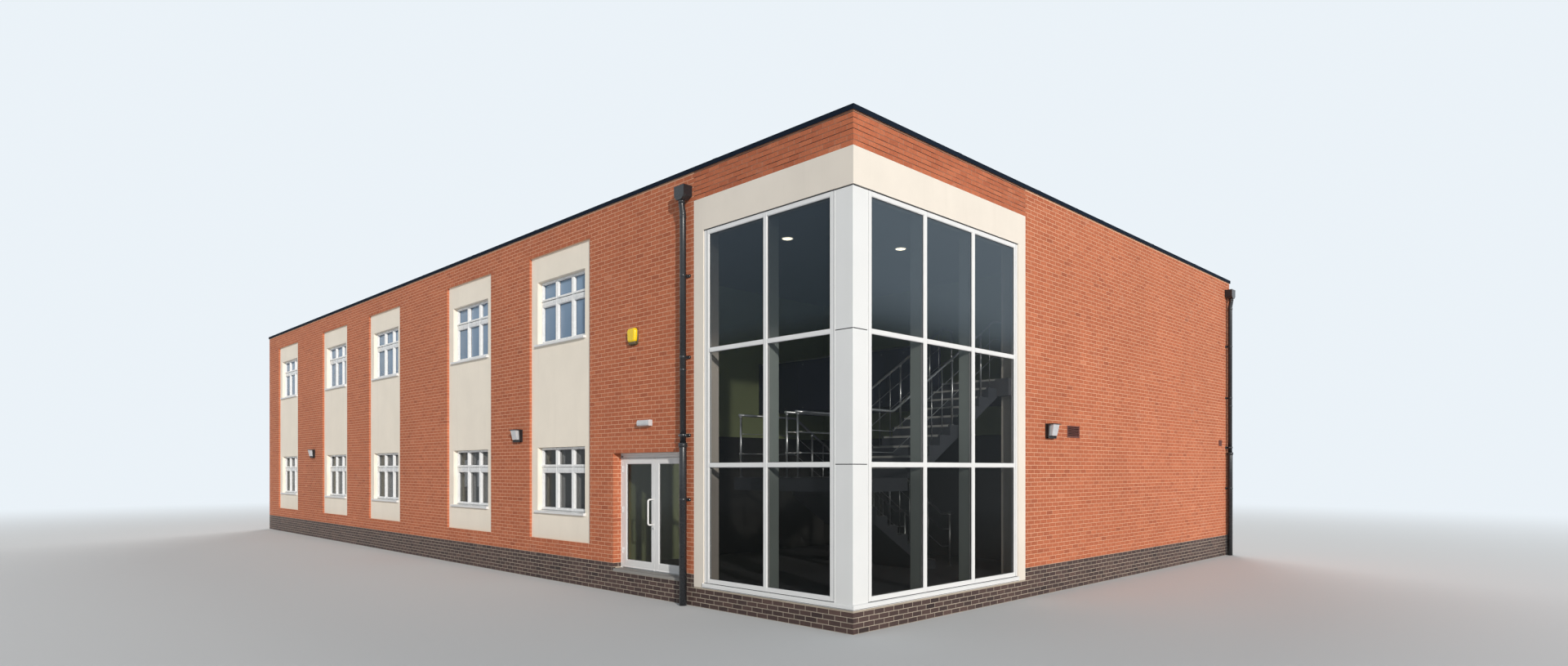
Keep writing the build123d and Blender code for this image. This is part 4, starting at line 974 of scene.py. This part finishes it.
def buildHinges():
    y = frameLine - 0.010
    hingeLines = {1: door["left"] + door["hingeInset"], -1: door["right"] - door["hingeInset"]}
    for body, sides in (("building", (1, -1)), ("left_door", (1,)), ("right_door", (-1,))):
        bm = bmesh.new()
        rise, turn = (0.0, -1) if body == "building" else (0.0553, 1)
        for side in sides:
            x, flap = hingeLines[side], side * turn
            for height in door["hinges"]:
                low = door["leafLow"] + height + rise
                high = low + 0.055
                knuckle = [(low, 0.0078), (low + 0.002, 0.0088), (high - 0.002, 0.0088), (high, 0.0078)]
                addTurned(bm, (x, y), knuckle, "z", 20)
                addBlock(bm, (x, y + 0.0058, low + 0.0005), (x + flap * 0.032, y + 0.0098, high - 0.0005))
                screw = [(y + 0.0062, 0.0038), (y + 0.0050, 0.0038)]
                for level in (low + 0.012, low + 0.043):
                    addTurned(bm, (x + flap * 0.022, level), screw, "y", 10, 1)
        makePiece(body + "Hinges", bm, ["doorWhite", "boltSteel"], "door_white", body=body)


def buildLeaf(body, start):
    bm = bmesh.new()
    low, high, front, back = door["leafLow"], door["leafHigh"], door["front"], door["leafBack"]
    end, stile = start + leafWidth, door["stile"]
    x0, x1, y0, y1 = start + stile, end - stile, low + door["footRail"], high - door["topRail"]
    for a, b in ((start, x0), (x1, end)):
        addBlock(bm, (a, low, back), (b, high, front))
    for a, b in ((y1, high), (low, y0)):
        addBlock(bm, (x0 - 0.001, a, back + 0.001), (x1 + 0.001, b, front - 0.001))
    for sign, base, glass in ((1, front, -0.195), (-1, back, -0.215)):
        addMitred(bm, (x0 - 0.001, y0 - 0.001), (x1 + 0.001, y1 + 0.001),
                  [(0, base - sign * 0.002), (0.006, base - sign * 0.002), (0.016, base - sign * 0.009),
                   (0.016, glass), (0, glass)])
        addMitred(bm, (x0 + 0.013, y0 + 0.013), (x1 - 0.013, y1 - 0.013),
                  [(0, glass), (0, glass + sign * 0.003), (0.006, glass + sign * 0.0015), (0.006, glass)], 1)
    # seal down the meeting edge, foot brush and drip
    leafName, meeting, side = ("left_leaf", end, 1) if body == "left_door" else ("right_leaf", start, -1)
    addBlock(bm, (meeting, low + 0.01, -0.212), (meeting + side * 0.0022, high - 0.01, -0.198), 1)
    addBlock(bm, (start + 0.01, low - 0.003, -0.212), (end - 0.01, low, -0.198), 1)
    addPrism(bm, [(low + 0.004, front), (low + 0.004, front + 0.012), (low + 0.010, front + 0.014),
                  (low + 0.028, front)], start + 0.012, end - 0.012)
    if body == "left_door":
        # lock: a rose on each side and the cylinder outside
        centre = (end - stile / 2, door["lock"])
        for base, out in ((front, 1), (back, -1)):
            rose = [(base - out * 0.001, 0.021), (base + out * 0.006, 0.021), (base + out * 0.008, 0.017)]
            addTurned(bm, centre, rose, "z", 24, 2)
        addTurned(bm, centre, [(front + 0.007, 0.0085), (front + 0.014, 0.0085)], "z", 16, 3)
    makePiece(leafName + "Set", bm, ["doorWhite", "gasketAndShadeBlack", "railSteel", "boltSteel"], "door_white",
              [wallFaces["front"]], 0.0012, body=body, replaces=[leafName])


pull = {"middle": 1.065, "half": 0.225, "out": 0.110, "bend": 0.036, "radius": 0.015}


def buildPulls():
    bm = bmesh.new()
    x = leaves["left_door"] + leafWidth - door["stile"] / 2
    middle = door["foot"] + pull["middle"]
    low, high = middle - pull["half"], middle + pull["half"]
    for base, out in ((door["front"], 1), (door["leafBack"], -1)):
        grip = base + out * pull["out"]
        path = [(x, low, base), (x, low, grip), (x, high, grip), (x, high, base)]
        addTube(bm, softCorners(path, pull["bend"], 8), pull["radius"], 20)
        rose = [(base, 0.021), (base + out * 0.004, 0.021), (base + out * 0.006, 0.018)]
        for level in (low, high):
            addTurned(bm, (x, level), rose, "z", 24)
    makePiece("pullHandles", bm, ["pullWhite"], "pull_white", [wallFaces["front"]], body="left_door",
              replaces=["door_pulls"])


def buildStep():
    bm = bmesh.new()
    addPrism(bm, [(0.376, -0.002), (0.376, 0.004), (0.418, 0.004), (0.4262, -0.004), (0.4262, -0.179),
                  (0.424, -0.179), (0.424, -0.006)], door["left"] + 0.002, door["right"] - 0.002)
    # mortar behind the bricks under the step
    addBlock(bm, (door["left"] + 0.001, 0.0, -0.002), (door["right"] - 0.001, 0.377, 0.0003), 1)
    makePiece("doorStep", bm, ["stepConcrete", "greyMortar"], "floor_screed", [wallFaces["front"]])


buildStep()
buildDoorFrame()
buildHinges()
for doorBody, leafStart in leaves.items():
    buildLeaf(doorBody, leafStart)
buildPulls()
print("entrance built")


# rainwater goods
rain = {"out": 0.0945, "pipe": 0.0525, "stand": 0.0625, "standTop": 2.69, "hopperTop": 6.93,
        "hopperWidth": 0.26, "hopperOut": 0.0925, "outletOut": 0.118,
        "brackets": [5.455, 4.110, 2.815, 1.750], "clamp": 2.815}
rainPlaces = [shifted("front", 10.795), shifted("side", 7.42)]


def buildHoppers():
    bm = bmesh.new()
    top, out, width, outlet = rain["hopperTop"], rain["hopperOut"], rain["hopperWidth"], rain["outletOut"]
    rings = [(width - 0.018, 0.167, 0.165, out), (width - 0.016, 0.169, 0.0, out), (width, 0.185, 0.0, out),
             (width, 0.185, 0.030, out), (width - 0.006, 0.182, 0.034, out),
             (width - 0.006, 0.182, 0.170, out), (width - 0.012, 0.176, 0.176, out + 0.001),
             (0.128, 0.128, 0.234, outlet), (0.118, 0.118, 0.235, outlet)]
    corners = ((-1, -1), (1, -1), (1, 1), (-1, 1))
    addLoops(bm, [[(x * across / 2, top - drop, centre + z * depth / 2) for x, z in corners]
                  for across, depth, drop, centre in rings])
    for x in (-0.06, 0.06):
        addTurned(bm, (x, top - 0.06), [(0.012, 0.008), (0.016, 0.008)], "z", 12, 1)
    makePiece("hopperHeads", bm, ["rainBlack", "boltSteel"], "rain_black", rainPlaces, 0.0015,
              replaces=["rainwater_hoppers"])


def buildPipes():
    bm = bmesh.new()
    out, outlet, foot, top = rain["out"], rain["outletOut"], rain["stand"], rain["standTop"]
    path = softCorners([(0, 6.703, outlet), (0, 6.62, outlet), (0, 6.48, out), (0, 2.66, out)], 0.10, 5)
    addTube(bm, path, rain["pipe"], 36)
    # sockets and collars down the pipe, then the wider foot with its ribbed socket
    for centre, sides, profile in (
            (outlet, 36, [(6.69, 0.056), (6.687, 0.058), (6.64, 0.058)]),
            (out, 36, [(6.455, 0.056), (6.452, 0.058), (6.408, 0.058), (6.405, 0.056)]),
            (out, 36, [(3.916, 0.055), (3.913, 0.057), (3.883, 0.057), (3.88, 0.055)]),
            (out, 40, [(top, foot - 0.002), (top - 0.008, foot), (0.004, foot)]),
            (out, 40, [(top, 0.070), (top - 0.004, 0.075), (2.625, 0.075), (2.615, 0.066)]),
            (out, 40, [(2.674, 0.0752), (2.67, 0.0775), (2.666, 0.0752)]),
            (out, 40, [(2.649, 0.0752), (2.645, 0.0775), (2.641, 0.0752)])):
        addTurned(bm, (0, centre), profile, "y", sides)
    makePiece("rainPipes", bm, ["rainBlack"], "rain_black", rainPlaces, replaces=["downpipes"])


def buildBrackets():
    bm = bmesh.new()
    out = rain["out"]
    for level in rain["brackets"]:
        radius = rain["pipe"] if level > rain["standTop"] else rain["stand"]
        band = radius + 0.004
        addLoops(bm, [roundedRing((0, level), *size) for size in (
            (0.185, 0.055, 0.022, 0.0), (0.185, 0.055, 0.022, 0.008), (0.181, 0.051, 0.020, 0.010))])
        addBlock(bm, (-0.031, level - 0.0245, 0.008), (0.031, level + 0.0245, out - radius + 0.012))
        if level == rain["clamp"]:
            # this one has bolted ears
            band = radius + 0.010
            addLoops(bm, [roundedRing((0, level), 0.215, 0.046, 0.018, out + z) for z in (-0.010, 0.010)])
            for x in (-0.090, 0.090):
                addTurned(bm, (x, level), [(out + 0.010, 0.0095), (out + 0.017, 0.0095)], "z", 6, 1, False)
        addTurned(bm, (0, out), [(level - 0.022, band - 0.002), (level - 0.019, band), (level + 0.019, band),
                                 (level + 0.022, band - 0.002)], "y", 36)
        for x in (-0.072, 0.072):
            addTurned(bm, (x, level), [(0.008, 0.0105), (0.015, 0.0105), (0.018, 0.008)], "z", 6, 1, False)
    makePiece("pipeBrackets", bm, ["rainBlack", "boltSteel"], "rain_black", rainPlaces,
              replaces=["pipe_brackets"])


buildHoppers()
buildPipes()
buildBrackets()
print("rainwater goods built")


# lights, alarm and vents
lightPlaces = [shifted("front", 5.03, 2.965), shifted("front", -9.08, 2.765), shifted("side", -2.155, 2.945)]
light = {"half": 0.150, "top": 0.119, "foot": -0.135, "cheek": 0.014, "ribs": 22, "rib": 0.002}
alarm = {"width": 0.270, "height": 0.300, "coverWidth": 0.272, "coverHeight": 0.248}
fittingPlaces = {"doorLight": shifted("front", 9.65, 3.065), "alarm": shifted("front", 9.27, 4.62),
                 "louvre": shifted("side", -1.21, 2.9625), "airBrick": shifted("side", 6.965, 2.925)}


def buildWallLights():
    bm = bmesh.new()
    half, top, foot = light["half"], light["top"], light["foot"]
    # back box with open cheeks, closed behind the lens
    addPrism(bm, [(foot, 0.0), (top, 0.0), (top, 0.052), (-0.125, 0.046), (foot, 0.040)], -half, half)
    for side in (-1, 1):
        addPrism(bm, [(foot, 0.030), (top, 0.030), (top, 0.086), (-0.128, 0.070), (foot, 0.064)],
                 side * half, side * (half - light["cheek"]))
    addPrism(bm, [(top, 0.0), (0.1345, 0.0), (0.1345, 0.158), (0.131, 0.164), (0.121, 0.164), (top, 0.160)],
             -half, half)
    addPrism(bm, [(foot, 0.030), (-0.112, 0.030), (-0.112, 0.071), (foot, 0.064)], -half, half)
    for x in (-0.128, 0.128):
        for y in (-0.10, 0.09):
            addTurned(bm, (x, y), [(0.050, 0.006), (0.056, 0.006)], "z", 10, 1)
    makePiece("lightBodies", bm, ["lightBlack", "boltSteel"], "light_black", lightPlaces, 0.002,
              replaces=["wall_lights"])

    bm = bmesh.new()
    ribs, rib = light["ribs"], light["rib"]
    rings = []
    for y, width, base, depth in ((0.1195, 0.110, 0.050, 0.150), (0.03, 0.1035, 0.048, 0.133),
                                  (-0.078, 0.095, 0.048, 0.111), (-0.086, 0.089, 0.048, 0.104)):
        front = [(width * (2 * n / ribs - 1), y, depth - rib + rib * (n % 2)) for n in range(ribs + 1)]
        rings.append([(-width, y, base), *front, (width, y, base)])
    addLoops(bm, rings)
    makePiece("lightLenses", bm, ["lensClear"], "lens_clear", lightPlaces, replaces=["light_lenses"])


doorLight = {"half": 0.170, "rise": 0.052, "plate": 0.022,
             "bow": ((0.052, 0.020), (0.053, 0.060), (0.046, 0.080), (0.030, 0.090))}


def buildDoorLight():
    bm = bmesh.new()
    half, rise, bow = doorLight["half"], doorLight["rise"], doorLight["bow"]
    addBlock(bm, (-half, -rise, 0.0), (half, rise, doorLight["plate"]))
    section = [*bow, (0.0, 0.0935), *((-up, out) for up, out in bow[::-1])]
    addPrism(bm, section, 0.006 - half, half - 0.006)
    # slightly larger caps at both ends
    cap = [(up * 1.035, 0.014 + (out - 0.014) * 1.012) for up, out in section]
    for side in (-1, 1):
        addPrism(bm, cap, side * (half - 0.012), side * (half + 0.0047))
    makePiece("doorLightBox", bm, ["doorLightOpal"], "door_light_white", [fittingPlaces["doorLight"]], 0.002,
              replaces=["door_light"])


def buildAlarm():
    bm = bmesh.new()
    width, height = alarm["width"], alarm["height"]
    # the base plate and the block under the cover are a real base, darkened as painted shade of the box's
    # underside
    addLoops(bm, [roundedRing((0, 0), *size) for size in (
        (width, height, 0.055, 0.0), (width, height, 0.055, 0.012),
        (width - 0.008, height - 0.008, 0.052, 0.018))])
    addLoops(bm, [roundedRing((0, y), *size) for y, *size in (
        (-0.108, 0.196, 0.078, 0.020, 0.016), (-0.108, 0.196, 0.078, 0.020, 0.050),
        (-0.104, 0.176, 0.066, 0.018, 0.062))])
    makePiece("alarmPlate", bm, ["alarmBaseShade"], "alarm_base_dark", [fittingPlaces["alarm"]],
              replaces=["alarm_base"])
    bm = bmesh.new()
    width, height = alarm["coverWidth"], alarm["coverHeight"]
    loops = []
    # outline wider at the crown than at the foot, drawn in towards a small flat front
    for draw, level in ((0.0, 0.019), (0.0015, 0.034), (0.006, 0.050), (0.014, 0.063), (0.026, 0.0735),
                        (0.042, 0.0795), (0.062, 0.0815)):
        radius = max(0.018, 0.062 - 0.5 * draw)
        ring = []
        for x, y, z in roundedRing((0, 0.022), width - 1.5 * draw, height - 1.2 * draw, radius, level, 9):
            narrow = 1.0 - 0.16 * max(0.0, (0.145 - y) / 0.246)
            crown = 0.018 * (1 - (x / 0.14) ** 2) * max(0.0, (y - 0.05) / 0.1)
            ring.append((x * narrow, y + crown - 0.004, z))
        loops.append(ring)
    addLoops(bm, loops, smooth=True)
    makePiece("alarmShell", bm, ["alarmYellow", "alarmBaseShade"], "alarm_yellow", [fittingPlaces["alarm"]],
              replaces=["alarm_cover"])


louvre = {"wide": 0.25, "high": 0.1125, "reach": 0.229, "rise": 0.0905, "blades": 6,
          "blade": ((0.0, 0.004), (0.0015, 0.0065), (0.010, 0.0055), (0.013, 0.002), (0.024, -0.030),
                    (0.020, -0.032), (0.009, 0.0015), (0.002, 0.001))}
airBrick = {"wide": 0.1105, "high": 0.073, "columns": 6, "bars": (-0.0245, 0.0245)}


def buildVents():
    bm = bmesh.new()
    wide, high, reach, rise, blades, blade = louvre.values()
    addMitred(bm, (-wide, -high), (wide, high), [
        (0, -0.035), (0, 0.0065), (0.002, 0.008), (0.020, 0.008), (0.022, 0.006), (0.022, -0.035)])
    for n in range(blades):
        y = -rise + n * 2 * rise / blades
        addPrism(bm, [(y + up, out) for up, out in blade], -reach, reach)
    # black sheet of painted shade behind the blades
    addBlock(bm, (-reach, -0.091, -0.0395), (reach, 0.091, -0.037), 1)
    makePiece("louvreVent", bm, ["ventBrown", "gasketAndShadeBlack"], "vent_brown", [fittingPlaces["louvre"]],
              replaces=["wall_vents"])
    bm = bmesh.new()
    wide, high, columns, bars = airBrick.values()
    # black block of painted shade behind the grille
    addBlock(bm, (0.003 - wide, 0.003 - high, -0.039), (wide - 0.003, high - 0.003, 0.001), 1)
    addMitred(bm, (-wide, -high), (wide, high), [(0, -0.03), (0, 0.007), (0.011, 0.007), (0.011, -0.03)])
    for n in range(1, columns):
        x = -wide + n * 2 * wide / columns
        addBlock(bm, (x - 0.010, -0.066, -0.02), (x + 0.010, 0.066, 0.0068))
    for y in bars:
        addBlock(bm, (-0.102, y - 0.006, -0.02), (0.102, y + 0.006, 0.0064))
    makePiece("airBrick", bm, ["ventBrown", "gasketAndShadeBlack"], "vent_brown", [fittingPlaces["airBrick"]], 0.001)


buildWallLights()
buildDoorLight()
buildAlarm()
buildVents()
print("lights, alarm and vents built")


# stair hall behind the glass
stair = {"upperRight": 14.10, "upperLeft": 12.93, "lowerRight": 12.82, "lowerLeft": 11.65, "width": 1.13,
         "front": -7.375, "landing": -3.45, "floor": 0.425, "half": 2.125, "first": 3.825, "going": 0.286,
         "riser": 0.17, "risers": 10, "rail": 1.0, "railInset": 0.06, "railEnd": 0.30, "railRadius": 0.021,
         "midRails": (0.30, 0.62), "midRadius": 0.006, "postRadius": 0.018, "barRadius": 0.007, "bay": 3}
fascia = {"face": -3.4995, "joints": (9.32, 10.52, 11.72), "foot": 3.475, "head": 4.555, "start": 8.42,
          "spacing": 0.53, "screws": (3.56, 4.47)}
downlights = {"places": ((11.75, -6.25), (12.70, -4.35)), "sides": 40,
              "profile": ((0.097, 6.169), (0.095, 6.166), (0.084, 6.165), (0.080, 6.172),
                          (0.062, 6.205), (0.060, 6.212))}
upperStart = stair["landing"] - (stair["risers"] - 1) * stair["going"]


def railPath(x, end, upper, drop=0.0):
    rail = stair["rail"] - drop
    half, going, landing = stair["half"] + rail, stair["going"], stair["landing"]
    turn, foot, last = upperStart, landing + going, "floor"
    if upper:
        turn, foot, last = upperStart - going, landing, "first"
    return [(x, stair["front"] + 0.06, half), (x, turn, half), (x, foot, stair[last] + rail),
            (x, end, stair[last] + rail)]


def buildRails():
    bm = bmesh.new()
    half, going, riser, rail, inset = (stair[k] for k in ("half", "going", "riser", "rail", "railInset"))
    for x, upper in ((stair["upperLeft"] + inset, True), (stair["upperRight"] - inset, True),
                     (stair["lowerLeft"] + inset, False), (stair["lowerRight"] - inset, False)):
        way, last, end = (1, stair["first"], 0.0) if upper else (-1, stair["floor"], going)
        end += stair["landing"] + stair["railEnd"]
        addTube(bm, softCorners(railPath(x, end, upper), 0.12, 6), stair["railRadius"], 20)
        for drop in stair["midRails"]:
            addTube(bm, softCorners(railPath(x, end - 0.02, upper, drop), 0.10, 4), stair["midRadius"], 8)
        posts = [(stair["front"] + 0.096, half, half + rail)]
        for step in range(1, stair["risers"] - 1):
            top = half + rail + way * (step + (1.5 if upper else 0.5)) * riser
            posts.append((upperStart + (step + 0.5) * going, half + way * (step + 1) * riser, top))
        posts.append((end - 0.036, last, last + rail))
        for n, (y, foot, top) in enumerate(posts):
            if n in (0, len(posts) - 1) or (n - 1) % stair["bay"] == 0:
                radius = stair["postRadius"]
                addTurned(bm, (x, y), [(foot + 0.001, radius), (top, radius)], "z", 14)
                flange = [(foot + 0.0005, 0.042), (foot + 0.005, 0.042), (foot + 0.008, 0.034)]
                addTurned(bm, (x, y), flange, "z", 20)
                addTurned(bm, (x, y), [(top - 0.05, 0.020), (top - 0.02, 0.024)])
            else:
                radius = stair["barRadius"]
                addTurned(bm, (x, y), [(foot + 0.001, radius), (top, radius)], "z", 8)
    # capping along the first-floor edge
    addPrism(bm, [(-3.510, 4.556), (-3.440, 4.556), (-3.438, 4.578), (-3.452, 4.586), (-3.498, 4.586),
                  (-3.512, 4.578)], 8.122, 12.928)
    makePiece("stairRailing", bm, ["railSteel"], "rail_steel", replaces=["stair_rails"])


def buildStairTrim():
    bm = bmesh.new()
    going, riser = stair["going"], stair["riser"]
    for left, start, level, way in ((stair["lowerLeft"], stair["landing"], stair["floor"], -1),
                                    (stair["upperLeft"], upperStart, stair["half"], 1)):
        x0, x1 = left + 0.04, left + stair["width"]
        for step in range(stair["risers"]):
            edge, top = start + way * step * going, level + (step + 1) * riser
            for n in range(4):
                y = edge + way * (0.006 + n * 0.011)
                addBlock(bm, (x0, y, top + 0.0005), (x1, y + way * 0.006, top + 0.0042))
            addBlock(bm, (x0, edge, top - 0.030), (x1, edge - way * 0.003, top + 0.003))
    makePiece("nosingRibs", bm, ["nosingAlloy"], "nosing_strip")

    bm = bmesh.new()
    face = fascia["face"]
    for x in fascia["joints"]:
        addBlock(bm, (x - 0.004, face - 0.002, fascia["foot"]), (x + 0.004, face, fascia["head"]))
    screw = [(face, 0.008), (face - 0.0045, 0.008)]
    for n in range(9):
        for z in fascia["screws"]:
            addTurned(bm, (fascia["start"] + n * fascia["spacing"], z), screw, "y", 12, 1)
    makePiece("fasciaJoints", bm, ["gasketAndShadeBlack", "railSteel"], "dark_fascia")

    bm = bmesh.new()
    turns = [2 * math.pi * side / downlights["sides"] for side in range(downlights["sides"])]
    for cx, cy in downlights["places"]:
        addLoops(bm, [[(cx + radius * math.cos(turn), cy + radius * math.sin(turn), level) for turn in turns]
                      for radius, level in downlights["profile"]], smooth=True)
    makePiece("downlightTrims", bm, ["lampDiffuser"], "lamp_white")


buildRails()
buildStairTrim()
print("stair hall built")


# finishes on the solids that stay
carried = {
    "redMortar": ["front_wall", "door_head_wall", "door_pier", "side_wall", "back_wall", "end_wall"],
    "darkMortarJointShade": ["corner_parapet"],
    "greyMortar": ["plinth_front", "plinth_side", "plinth_back", "plinth_end", "corner_base"],
    "creamRender": ["surround_jambs", "surround_band"],
    "stripRender": ["render_strips"],
    "floorCarpet": ["ground_floor", "first_floor"],
    "stairVinyl": ["half_landing", "stair_flights"],
    "nosingAlloy": ["stair_nosings"],
    "roofMembrane": ["roof_deck"],
    "hallDadoShade": ["hall_side_partition", "hall_back_partition"],
    "ceilingBoard": ["hall_ceiling"],
    "lampDiffuser": ["downlights"],
    "fasciaNavy": ["landing_fascia"],
    "paneGlass": ["window_glass"],
    "cornerPane": ["corner_glass"],
    "mullionGrey": ["inner_mullions"],
    "doorPane": ["left_leaf_glass", "right_leaf_glass"],
}
for finishName, nodeNames in carried.items():
    for nodeName in nodeNames:
        finishSolid(nodeName, finishes[finishName])
print("solids finished; triangles added", sum(triangleCount.values()), "largest", max(triangleCount.values()))
